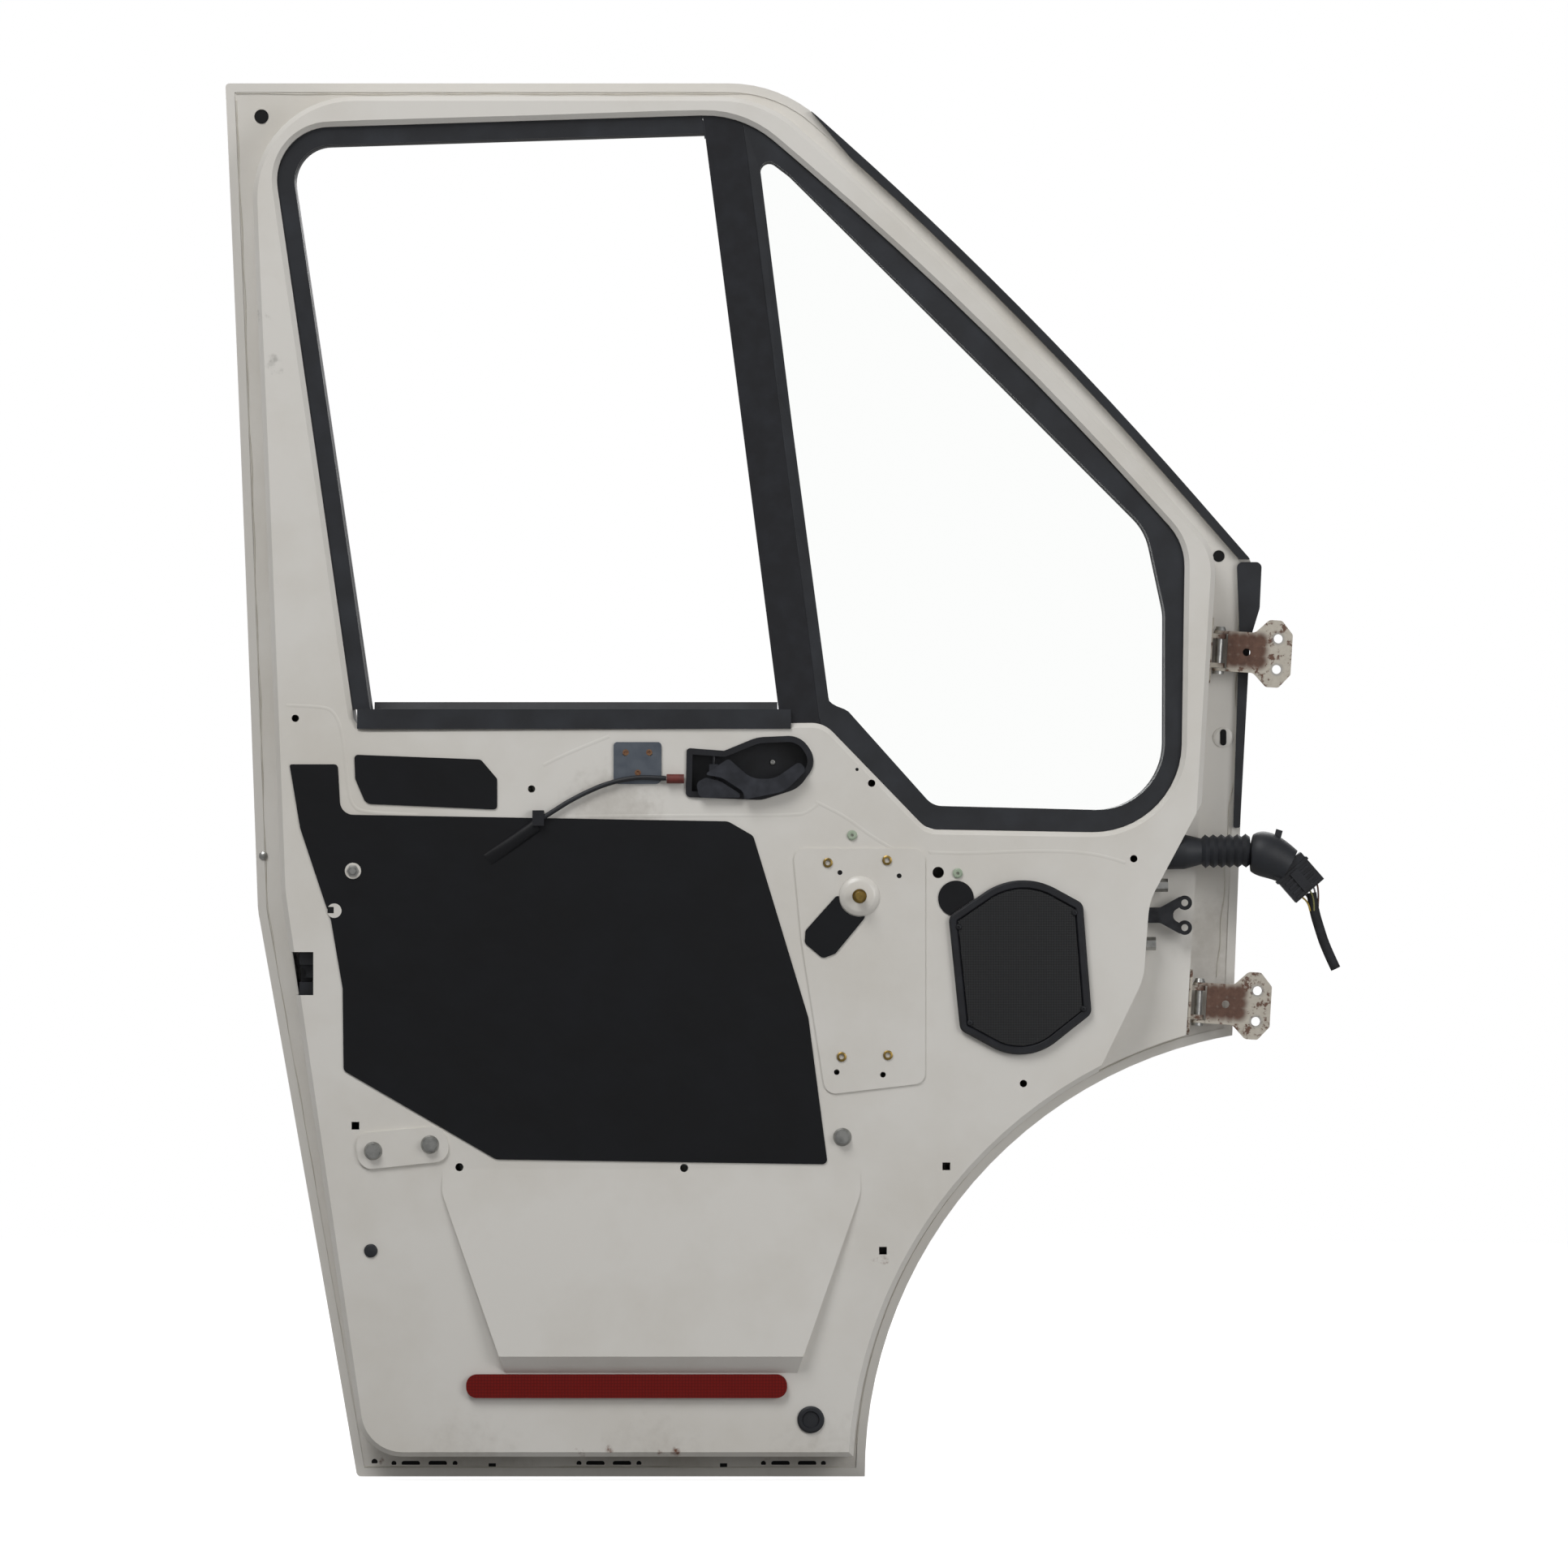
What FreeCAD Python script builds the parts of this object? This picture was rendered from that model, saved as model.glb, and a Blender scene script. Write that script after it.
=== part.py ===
"""Left front door of a van, seen from inside: x forward, y outwards, z up, in millimetres.

The door is drawn with y = 0 at the fullest point of the outer skin and z = 0 at its lower edge.
On export it moves so that the origin lies on the lower hinge, where its pillar leaf is bolted on.
"""
import FreeCAD
import Part
import math
import os

# Skin and body depth
SKIN_RADIUS = 6000.0
SKIN_FULLEST_Z = 535.0
SKIN_T = 1.0
PANEL_T = 1.2
LAYER_GAP = 0.3
SEAT_GAP = 0.3
HEM_WIDTH = 9.0
BODY_DEPTH = 82.0
BELT_Z = 785.0
FRAME_RADIUS = 7000.0
POCKET_DEPTH = 45.0
PAN_EDGE = 5.0

# Door outline
DOOR_HEIGHT = 1447.5
DRAWN_HEIGHT = 1447.5
CORNER_Z = 985.0
SLOPE_SHARE = 0.75
FRONT_X = 1066.0
ARCH_X = 1128.0
ARCH_Z = 1.0
ARCH_RADIUS = 465.0
ARCH_FLANGE = 13.0
PAN_FOOT_Z = 25.0

# Hinges
PIN_TILT = 3.4
PIN_BASE_X = 1010.5
PIN_BASE_Z = 494.0
PIN_SPACING = 367.0
PIN_DEPTH = 30.0
PIN_RADIUS = 4.0
PIN_PLAY = 0.15
WALL_GAP = 11.5
LEAF_T = 4.0
LEAF_BACK = 4.0
LEAF_REACH = 75.0
LEAF_BOLT_X = 60.2
LEAF_BOLT_SPACING = 32.0
LEAF_BOLT_R = 4.7
LEAF_NECK = 42.0
LEAF_PAD = 70.0
KNUCKLE_R = 6.5
LEAF_START = 8.0
NECK_END = 36.0
FLANGE_T = 3.0
LEAF_CENTRE_X = 28.0
LEAF_CENTRE_R = 4.0
DOOR_LEAF_T = 3.0
DOOR_LEAF_HALF_Y = 13.0
DOOR_LEAF_HALF_Z = 34.0
ARM_T = 5.0
ARM_GAP = 0.3
PIN_HEAD_R = 6.0
PIN_HEAD_T = 3.0

# Latch: rear, front, lower and upper edge of its mouth
LATCH_BOX = (65.5, 91.6, 503.0, 547.7)
LATCH_MOUTH_DEPTH = 34.0
LATCH_STEP = 6.0
LATCH_CASE_DEPTH = 34.0
LATCH_INSET = 11.2
LATCH_MARGIN = 12.0
LATCH_FLOOR = 8.0
STRIKER_REACH = 30.0
STRIKER_HALF = 9.0
CLAW_T = 6.0
CLAW_R = 6.0

# Check arm
CHECK_WALL = (955.0, 585.5)
CHECK_INSET = 19.0
CHECK_DEPTH = BODY_DEPTH - CHECK_INSET
CHECK_ARM_T = 5.0
CHECK_ARM_HEIGHT = 16.0
CHECK_PLAY = 0.6
CHECK_INSIDE = 95.0
CHECK_EYE_X = 39.5
CHECK_EYE_SPACING = 25.8
CHECK_EYE_R = 7.5
CHECK_NECK = 14.0
CHECK_FORK = 12.0
CHECK_HOLE_R = 3.6
CHECK_NUTS = [(968.0, 616.6), (955.5, 556.0)]
NUT_ACROSS = 12.0
NUT_HEIGHT = 9.0

# Inside handle
HANDLE_RIM = 4.0
HANDLE_FLANGE_T = 2.0
CUP_WALL = 2.0
CUP_DEPTH = 22.0
LEVER_PIN_X = 506.0
LEVER_PIN_INSET = 2.0
LEVER_PIN_DEPTH = BODY_DEPTH - LEVER_PIN_INSET
LEVER_PIN_R = 2.0
LEVER_T = 6.0
LEVER_RISE = 5.0
ROCKER_T = 3.5
ROCKER_RISE = 3.0
LUG_HALF = 4.5
LEVER_LUG_Z = (733.5, 742.0)
ROCKER_LUG_Z = (718.0, 726.0)

# Release cable, at the height where it passes over the bracket
CABLE_R = 2.5
CABLE_POINTS = [(457, 727.4), (427.6, 729), (395.6, 722.4), (362, 707.3), (327.6, 685.4)]
CLIP_HALF = 6.0
CLIP_WALL = 1.5
SLEEVE_R = 4.8
SLEEVE_X = (457.4, 475.4)
SLEEVE_Z = 727.0
BRACKET = (402.4, 452.0, 721.6, 765.0)
BRACKET_T = 2.0
BRACKET_INSET = 12.0
BRACKET_HOLE_R = 2.6

# Trim on the inner face
FOIL_T = 1.0
GRILLE_RIM = 9.0
GRILLE_T = 7.0
GRILLE_MESH_T = 2.0
WINDER = (656.9, 605.6)
WINDER_BOSS_R = 21.0
WINDER_BOSS_LIFT = 5.0
WINDER_SPINDLE_R = 5.0
WINDER_SPINDLE_LENGTH = 22.0
ROUND_PATCH = (756.8, 603.1, 18.5)
GROMMET = (606.5, 63.8, 14.0)
REGULATOR_BOLTS = [(153.7, 341.9), (212.5, 348.6), (639.2, 356.2)]
BOLT_HEAD = 13.0
BOLT_HEAD_T = 7.0
BOLT_FLANGE_T = 2.2
BOLT_FLANGE_R = 9.5
INSERTS = [(624.1, 640.1), (685.4, 642.6), (638.4, 439.3), (686.3, 441.0)]
CLIP_SOCKETS = [(649.3, 668.6), (758.5, 629.2)]
PLUGS = [(151.2, 238.6, 7.0)]
OVAL_PLUG = (1037.5, 770.3, 10.5)
REFLECTOR_T = 6.0

# Wiring that leaves through the pocket's wall
GAITER_INSET = 18.0
GAITER_Y = GAITER_INSET - BODY_DEPTH
GAITER_START = (972.0, 651.0)
GAITER_END = (1062.0, 652.5)
GAITER_R = 15.5
GAITER_RIDGE = 2.0
GAITER_PITCH = 8.0
BOOT_POINTS = [(1062.0, 652.5, 17.0), (1074.0, 650.0, 23.0), (1088.0, 644.0, 22.0), (1102.0, 636.0, 19.0)]
CONNECTOR_START = (1100.0, 638.5)
CONNECTOR_END = (1124.0, 611.0)
CONNECTOR_WIDTH = 38.0
CONNECTOR_DEPTH = 24.0
TAIL_R = 5.2
TAIL_POINTS = [(1126.0, 608.7), (1128.2, 592.0), (1134.4, 571.0), (1140.8, 551.6), (1151.1, 530.0)]

# Outside of the door
PULL_HANDLE = (70.0, 205.0, 655.0, 22.0)
PULL_REACH = 30.0
PULL_T = 10.0
PULL_FOOT = 24.0
MOULDING_Z = (130.0, 150.0)
MOULDING_T = 9.0

# Window
GLASS_DEPTH = 26.0
GLASS_T = 4.0
RUBBER_WIDTH = 18.0
RUBBER_SETBACK = 9.0
BAR_WIDTH = 41.0
BAR_LEAN = 7.3
BAR_FOOT_X = 575.0
BAR_GROOVE = 10.0
GLASS_BITE = 6.0
DROP_GLASS_TOP = 802.0
DROP_GLASS_HEIGHT = 520.0
BELT_LIP_GAP = 0.3
SEAL_LIP_LOW = 6.0
SEAL_LIP_HIGH = 9.0
BELT_SEAL_SEAT = 12.0
INNER_SEAL_HEIGHT = 14.0
OUTER_SEAL_HEIGHT = 22.0
SEAL_RISE = INNER_SEAL_HEIGHT + SEAT_GAP
SEAL_FRONT_T = 2.0
SEAL_FRONT_DROP = 6.3
SEAL_FRONT_DEPTH = 8.0
SEAL_FRONT_X = (137.0, 586.0)
SEAL_START = 6.0

# Edge seals
SEAL_REACH = 60.0
SEAL_CORNER_Z = 956.0
EDGE_SEAL_WIDTH = 9.0
EDGE_SEAL_DEPTH = 8.0
FLAP_DEPTH = 5.0

FAR = 400.0
SPAN_X = 1400.0


def vec(x, y, z):
    return FreeCAD.Vector(x, y, z)


def skin_y(z):
    """Depth of the outer skin's face at height z."""
    return math.sqrt(SKIN_RADIUS ** 2 - (z - SKIN_FULLEST_Z) ** 2) - SKIN_RADIUS


def inner_y(z):
    """Depth of the inner panel's face at height z."""
    rise = max(0.0, z - BELT_Z)
    return math.sqrt(FRAME_RADIUS ** 2 - rise ** 2) - FRAME_RADIUS - BODY_DEPTH


def outline(corners, y=0.0):
    """Closed wire at depth y through corners given as x, z and corner radius."""
    runs = []
    count = len(corners)
    for i, (x, z, radius) in enumerate(corners):
        here = vec(x, y, z)
        before = vec(corners[i - 1][0], y, corners[i - 1][1])
        after = vec(corners[(i + 1) % count][0], y, corners[(i + 1) % count][1])
        back = (before - here).normalize()
        ahead = (after - here).normalize()
        half = back.getAngle(ahead) / 2
        if radius == 0:
            runs.append((here, None, here))
            continue
        reach = radius / math.tan(half)
        middle = (back + ahead).normalize() * (radius / math.sin(half) - radius)
        runs.append((here + back * reach, here + middle, here + ahead * reach))
    edges = []
    for i, (start, middle, end) in enumerate(runs):
        if middle is not None:
            edges.append(Part.Arc(start, middle, end).toShape())
        following = runs[(i + 1) % count][0]
        if end.distanceToPoint(following) > 0.001:
            edges.append(Part.LineSegment(end, following).toShape())
    return Part.Wire(edges)


def prism(corners, y0, y1, grow=0.0):
    """Straight block through depth, from an outline that may be grown or, if negative, shrunk."""
    face = Part.Face(outline(corners, y0))
    if grow:
        face = face.makeOffset2D(grow)
    return face.extrude(vec(0, y1 - y0, 0))


def through(corners, grow=0.0):
    """Block through the whole depth of the door."""
    return prism(corners, -FAR, FAR, grow)


def box(x0, x1, y0, y1, z0, z1):
    return Part.makeBox(x1 - x0, y1 - y0, z1 - z0, vec(x0, y0, z0))


def skin_cylinder(depth):
    """Everything inside the skin's curve, from the given depth below its outer face."""
    base = vec(-FAR, -SKIN_RADIUS, SKIN_FULLEST_Z)
    return Part.makeCylinder(SKIN_RADIUS - depth, SPAN_X + FAR, base, vec(1, 0, 0))


def skin_layer(shape, depth0, depth1):
    """The part of a block that lies between two depths below the outer face."""
    return shape.common(skin_cylinder(depth0)).cut(skin_cylinder(depth1))


def inner_block(lift):
    """Everything on the outer side of the inner face, which is moved outwards by lift."""
    top = DOOR_HEIGHT + FAR / 2
    front = -BODY_DEPTH + lift
    radius = FRAME_RADIUS + lift
    centre_y = -BODY_DEPTH - FRAME_RADIUS

    def face_point(z):
        return vec(-FAR, centre_y + math.sqrt(radius ** 2 - (z - BELT_Z) ** 2), z)

    low = vec(-FAR, front, -FAR)
    belt = vec(-FAR, front, BELT_Z)
    high = face_point(top)
    edges = [
        Part.LineSegment(vec(-FAR, FAR, -FAR), low).toShape(),
        Part.LineSegment(low, belt).toShape(),
        Part.Arc(belt, face_point((BELT_Z + top) / 2), high).toShape(),
        Part.LineSegment(high, vec(-FAR, FAR, top)).toShape(),
        Part.LineSegment(vec(-FAR, FAR, top), vec(-FAR, FAR, -FAR)).toShape(),
    ]
    return Part.Face(Part.Wire(edges)).extrude(vec(SPAN_X + FAR, 0, 0))


def arch(grow=0.0):
    """Round wheel arch that the lower front corner is cut away by."""
    return Part.makeCylinder(ARCH_RADIUS + grow, 2 * FAR, vec(ARCH_X, -FAR, ARCH_Z), vec(0, 1, 0))


def revolve(profile, centre, axis):
    """Turned piece: profile points are radius and height, the axis points along the height."""
    points = [vec(r, 0, h) for r, h in profile]
    points.append(points[0])
    turned = Part.Face(Part.makePolygon(points)).revolve(vec(0, 0, 0), vec(0, 0, 1), 360)
    turned.Placement = FreeCAD.Placement(centre, FreeCAD.Rotation(vec(0, 0, 1), axis))
    return turned


def fuse_all(shapes):
    return shapes[0].multiFuse(shapes[1:]).removeSplitter()


def save(name, shape):
    """Move a piece to the hinge origin and write it."""
    moved = shape.copy()
    moved.translate(vec(-ORIGIN.x, -ORIGIN.y, -ORIGIN.z))
    moved.exportStep("parts/" + name + ".step")
    print(name, len(moved.Solids), round(moved.Volume), moved.isValid())


def wall_x(z):
    """Front wall of the pan, which runs along the hinge pins at a fixed gap."""
    tilt = math.radians(PIN_TILT)
    return PIN_BASE_X - WALL_GAP / math.cos(tilt) + (z - PIN_BASE_Z) * math.tan(tilt)


def up(z):
    """Height of a point above the front corner, which rises and falls with the door's height."""
    return CORNER_Z + (z - CORNER_Z) * (DOOR_HEIGHT - CORNER_Z) / (DRAWN_HEIGHT - CORNER_Z)


def slope_bend(before, here, after):
    """Corner whose shallow bend takes a fixed share of the shorter of its two sides."""
    back = vec(before[0] - here[0], 0, before[1] - here[1])
    ahead = vec(after[0] - here[0], 0, after[1] - here[1])
    radius = SLOPE_SHARE * min(back.Length, ahead.Length) * math.tan(back.getAngle(ahead) / 2)
    return here + (radius,)


# Outlines: x, z and corner radius
DOOR = [
    (0, DOOR_HEIGHT, 4), (575, DOOR_HEIGHT, 140),
    slope_bend((575, DOOR_HEIGHT), (836, up(1217)), (FRONT_X, 955)), (FRONT_X, 955, 12),
    (FRONT_X - 36, 0, 0), (134, 0, 5), (29, 590, 60),
]
PAN = [
    (26, up(1431), 105), (558, up(1431), 120),
    slope_bend((558, up(1431)), (819, up(1199)), (wall_x(962), 962)), (wall_x(962), 962, 60),
    (wall_x(PAN_FOOT_Z), PAN_FOOT_Z, 0), (142.6, PAN_FOOT_Z, 48), (58, 609, 150),
]
APERTURE = [
    (47, up(1398), 55), (536, up(1413), 110),
    slope_bend((536, up(1413)), (780, up(1206)), (994, 971)), (994, 971, 63),
    (989.5, 670, 92), (727, 674.5, 25), (620, BELT_Z, 30), (134.4, BELT_Z - 5.5, 14),
]
POCKET = [
    (wall_x(702), 702, 0), (957, 600, 60), (951, 520, 60), (905, 425, 0),
    (905, 300, 0), (FRONT_X + 90, 300, 0), (FRONT_X + 90, 702, 0),
]
QUARTER = [
    (570, up(1358), 9), (600, up(1338), 40), (795, up(1145), 3000), (955, CORNER_Z, 60),
    (973.5, 900, 60), (973.5, 693, 70), (733, 699, 25), (626, 803, 25),
]
HANDLE = [
    (478, 759, 4), (517, 756, 4), (551, 770, 40), (596, 772, 24),
    (614, 745, 22), (594, 717, 30), (556, 705, 30), (477, 708, 5),
]
LEVER = [
    (499, 733, 2), (521.5, 748, 4), (545, 727, 26), (569, 727, 26), (595, 745, 5), (602, 736, 5),
    (580, 714, 30), (538, 705.5, 1.5), (536.5, 714, 8), (515, 728, 20), (499, 731, 1),
]
ROCKER = [(488, 723, 6), (498, 728.5, 8), (514, 724, 20), (533, 711.8, 3), (533.5, 707.5, 1.5), (491, 707.5, 6)]
GRILLE = [
    (822, 634, 70), (888, 598, 10), (897, 484, 10), (829, 430, 60), (761, 467, 10), (749, 584, 10),
]
MAIN_MEMBRANE = [
    (67, 742, 2), (117, 742, 4), (120, 690, 14), (521, 683, 12), (547, 668, 8), (604, 480, 12),
    (624, 328, 5), (281, 333, 12), (123, 425, 6), (122, 510, 8), (110, 580, 8), (78, 676, 10),
]
UPPER_MEMBRANE = [(134, 752, 4), (265, 747, 6), (282, 727, 4), (282, 695, 4), (146, 701, 10), (135, 727, 8)]
SLOT_PATCH = [(634, 607, 4), (664, 585, 4), (632, 546, 6), (619, 541, 6), (600, 557, 6), (601, 570, 5)]
WEDGE = [(225, 330, 0), (225, 298, 30), (292, 108, 8), (591, 108, 8), (658, 298, 30), (658, 330, 0)]
REFLECTOR = [(250, 110.9, 11), (582, 110.9, 11), (582, 86.5, 11), (250, 86.5, 11)]
BOLT_EMBOSS = [(134, 360, 15), (226, 368, 15), (236, 332, 15), (140, 322, 15)]
LOCK_EMBOSS = [(588, 655, 12), (725, 655, 12), (725, 412, 12), (622, 400, 12), (597, 560, 20)]

# Pressed details on the inner face
EMBOSS_LIFT = 3.0
LOCK_LIFT = 1.8
WEDGE_TOP_Z = 323.0
WEDGE_CREST_Z = 130.0
WEDGE_LIFT = 14.0
WEDGE_FOOT_Z = 112.0
TRIM_HOLES = [
    (37, up(1413.7), 7.5), (73, 789.6, 3.8), (317.5, 716.5, 3.8), (669.5, 722.4, 3.8), (738.4, 630, 5.9),
    (940.8, 644.3, 3.8), (1032.4, 959.3, 6.3), (826.6, 411.6, 3.8), (242.8, 325, 4.2),
    (475.4, 324.2, 4.2), (633.4, 423.4, 2.9), (681.2, 420.8, 2.9),
]
SQUARE_HOLES = [(746.8, 325.9), (681.2, 238.6), (135.2, 367.9)]
SQUARE_SIDE = 8.0

# Slot in the belt that the drop glass passes through
BELT_SLOT_X0 = 146.0
BELT_SLOT_X1 = 596.0
BELT_SLOT_HALF = 18.0
GLASS_Y = skin_y(BELT_Z) - GLASS_DEPTH - GLASS_T / 2


def emboss_blocks(sheet):
    """Raised areas of the inner face, moved outwards by the sheet for the hollow behind them."""
    face = -BODY_DEPTH + sheet
    blocks = [
        prism(BOLT_EMBOSS, face - EMBOSS_LIFT, face + EMBOSS_LIFT, -sheet),
        prism(LOCK_EMBOSS, face - LOCK_LIFT, face + EMBOSS_LIFT, -sheet),
    ]
    root = face + EMBOSS_LIFT
    side = [(root, WEDGE_TOP_Z), (face, WEDGE_TOP_Z), (face - WEDGE_LIFT, WEDGE_CREST_Z),
            (face, WEDGE_FOOT_Z), (root, WEDGE_FOOT_Z)]
    points = [vec(0, y, z) for y, z in side + side[:1]]
    wedge = Part.Face(Part.makePolygon(points)).extrude(vec(SPAN_X, 0, 0))
    blocks.append(wedge.common(through(WEDGE, -sheet)))
    return blocks


def inner_face_edges(shape, lift):
    """Edges where the side walls meet the inner face."""
    found = []
    for edge in shape.Edges:
        points = [edge.valueAt(t) for t in (edge.FirstParameter, edge.LastParameter)]
        points.append(edge.valueAt((edge.FirstParameter + edge.LastParameter) / 2))
        on_face = all(abs(p.y - lift - inner_y(p.z)) < 0.05 for p in points)
        at_belt = all(abs(p.z - BELT_Z) < 0.001 for p in points)
        if on_face and not at_belt:
            found.append(edge)
    return found


def pan_body(sheet):
    """The pan as a solid: sheet is 0 for its outside, or the panel's thickness for its hollow."""
    body = through(PAN, -sheet).cut(arch(ARCH_FLANGE + sheet)).cut(through(APERTURE, sheet))
    body = body.common(inner_block(sheet))
    bevel = PAN_EDGE - sheet * (2 - math.sqrt(2))
    body = body.makeChamfer(bevel, inner_face_edges(body, sheet))
    body = body.cut(prism(POCKET, -FAR, -POCKET_DEPTH + sheet, sheet))
    return fuse_all([body] + emboss_blocks(sheet))


def inner_panel():
    """Pressed inner panel: a hollow pan with its flange, belt slot and trim holes."""
    flange_depth = SKIN_T + LAYER_GAP
    pan = pan_body(0).common(skin_cylinder(flange_depth))
    hollow = pan_body(PANEL_T)
    flange = through(DOOR, -flange_depth).cut(arch(flange_depth)).cut(through(APERTURE))
    flange = skin_layer(flange, flange_depth, flange_depth + PANEL_T)
    panel = pan.fuse(flange).cut(hollow)
    slot = box(BELT_SLOT_X0, BELT_SLOT_X1, GLASS_Y - BELT_SLOT_HALF, GLASS_Y + BELT_SLOT_HALF,
               BELT_Z - 20, BELT_Z + 10)
    cuts = [slot, prism(HANDLE, -FAR, 0, -HANDLE_RIM), check_arm_slot(), latch_mouth()]
    for x, z, radius in TRIM_HOLES:
        cuts.append(Part.makeCylinder(radius, 2 * FAR, vec(x, -FAR, z), vec(0, 1, 0)))
    half = SQUARE_SIDE / 2
    for x, z in SQUARE_HOLES:
        cuts.append(box(x - half, x + half, -FAR, FAR, z - half, z + half))
    return panel.cut(Part.makeCompound(cuts))


def outer_skin():
    """Outer skin, hemmed round the flange of the inner panel."""
    hem_depth = SKIN_T + 2 * LAYER_GAP + PANEL_T
    whole = through(DOOR).cut(arch()).cut(through(APERTURE))
    inside = through(DOOR, -SKIN_T).cut(arch(SKIN_T))
    lip = through(DOOR, -HEM_WIDTH).cut(arch(HEM_WIDTH))
    sheet = skin_layer(whole, 0, SKIN_T)
    edge = skin_layer(whole.cut(inside), 0, hem_depth + SKIN_T)
    fold = skin_layer(whole.cut(lip), hem_depth, hem_depth + SKIN_T)
    return fuse_all([sheet, edge, fold])


def lean_x(x, z):
    """Place of a line that stands at x at the belt and leans back with the division bar."""
    return x - (z - BELT_Z) * math.tan(math.radians(BAR_LEAN))


def bar_corners(offset0, offset1, low, high):
    """Leaning strip beside the division bar, between two distances in front of its rear edge."""
    return [
        (lean_x(BAR_FOOT_X + offset0, low), low, 0), (lean_x(BAR_FOOT_X + offset1, low), low, 0),
        (lean_x(BAR_FOOT_X + offset1, high), high, 0), (lean_x(BAR_FOOT_X + offset0, high), high, 0),
    ]


def window_block(corners, grow=0.0):
    """Block in the window opening, from just below the inner face to the outer skin."""
    block = through(corners, grow).common(inner_block(RUBBER_SETBACK))
    return block.common(skin_cylinder(SKIN_T + LAYER_GAP))


def glass_slot(corners, grow):
    """Room for a pane, with a gap on every side."""
    depth = GLASS_DEPTH - SEAT_GAP
    return skin_layer(through(corners, grow + SEAT_GAP), depth, depth + GLASS_T + 2 * SEAT_GAP)


def division_bar():
    """Leaning post between the two panes, with a groove for the drop glass."""
    post = window_block(bar_corners(0, BAR_WIDTH, BELT_Z - 60, DOOR_HEIGHT))
    post = post.common(through(APERTURE, -SEAT_GAP))
    groove = bar_corners(-FAR, BAR_GROOVE, BELT_Z - FAR / 2, DOOR_HEIGHT)
    return post.cut(glass_slot(groove, 0)).cut(glass_slot(QUARTER, GLASS_BITE))


def glass_run_channel():
    """Rubber channel round the drop window, open at the belt, with a groove for the glass."""
    ring = window_block(APERTURE, -SEAT_GAP).cut(through(APERTURE, -RUBBER_WIDTH))
    ring = ring.common(through(bar_corners(-2 * FAR, -SEAT_GAP, BELT_Z + SEAL_RISE, DOOR_HEIGHT)))
    above_seals = box(BELT_SLOT_X0 + SEAL_START - SEAT_GAP, SPAN_X, -FAR, FAR,
                      BELT_Z - FAR / 2, BELT_Z + OUTER_SEAL_HEIGHT + SEAT_GAP)
    return ring.cut(above_seals).cut(glass_slot(APERTURE, -BAR_GROOVE))


def quarter_glass_seal():
    """Rubber frame of the fixed front pane."""
    ring = window_block(APERTURE, -SEAT_GAP).cut(through(QUARTER))
    ring = ring.common(through(bar_corners(BAR_WIDTH + SEAT_GAP, 2 * FAR, BELT_Z - FAR / 2, DOOR_HEIGHT)))
    return ring.cut(glass_slot(QUARTER, GLASS_BITE))


def quarter_glass():
    return skin_layer(through(QUARTER, GLASS_BITE), GLASS_DEPTH, GLASS_DEPTH + GLASS_T)


def drop_glass():
    """Drop glass wound down into the door, its upper edge just above the belt seals."""
    low = DROP_GLASS_TOP - DROP_GLASS_HEIGHT
    corners = [
        (BELT_SLOT_X0 + 8, DROP_GLASS_TOP, 6), (BELT_SLOT_X1 - 24, DROP_GLASS_TOP, 6),
        (BELT_SLOT_X1 + 30, low, 40), (BELT_SLOT_X0 + 8, low, 40),
    ]
    return skin_layer(through(corners), GLASS_DEPTH, GLASS_DEPTH + GLASS_T)


def belt_seal(side):
    """Wiper strip on one edge of the belt slot: side is -1 inside and 1 outside."""
    start = BELT_SLOT_X0 + SEAL_START
    low = BELT_Z + SEAT_GAP
    nearest = low + (SEAL_LIP_HIGH if side < 0 else SEAL_LIP_LOW)
    glass_face = skin_y(nearest) - GLASS_DEPTH - GLASS_T / 2 + side * GLASS_T / 2
    lip = glass_face + side * BELT_LIP_GAP
    back = GLASS_Y + side * (BELT_SLOT_HALF + BELT_SEAL_SEAT)
    if side < 0:
        back = -BODY_DEPTH + SEAL_FRONT_DEPTH
    high = BELT_Z + (INNER_SEAL_HEIGHT if side < 0 else OUTER_SEAL_HEIGHT)
    section = [
        (back, low), (lip + side * SEAL_LIP_HIGH, low), (lip, low + SEAL_LIP_LOW), (lip, low + SEAL_LIP_HIGH),
        (lip + side * (SEAL_LIP_HIGH - SEAL_FRONT_T), high), (back, high), (back, low),
    ]
    end = lean_x(BAR_FOOT_X, BELT_Z + OUTER_SEAL_HEIGHT) - SEAT_GAP
    face = Part.Face(Part.makePolygon([vec(start, y, z) for y, z in section]))
    return face.extrude(vec(end - start, 0, 0))


def inner_belt_seal():
    """Inner wiper strip with the moulding that covers the panel's edge."""
    x0, x1 = SEAL_FRONT_X
    front = -BODY_DEPTH - SEAT_GAP - SEAL_FRONT_T
    low = BELT_Z + SEAT_GAP
    cover = box(x0, x1, front, -BODY_DEPTH + SEAL_FRONT_DEPTH, low, BELT_Z + INNER_SEAL_HEIGHT)
    drop = box(x0, x1, front, front + SEAL_FRONT_T, BELT_Z - SEAL_FRONT_DROP, low)
    return fuse_all([belt_seal(-1), cover, drop])


def hem_face_depth():
    """Depth of the hem's inner face, which the edge seals sit on."""
    return 2 * (SKIN_T + LAYER_GAP) + PANEL_T + SEAT_GAP


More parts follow.
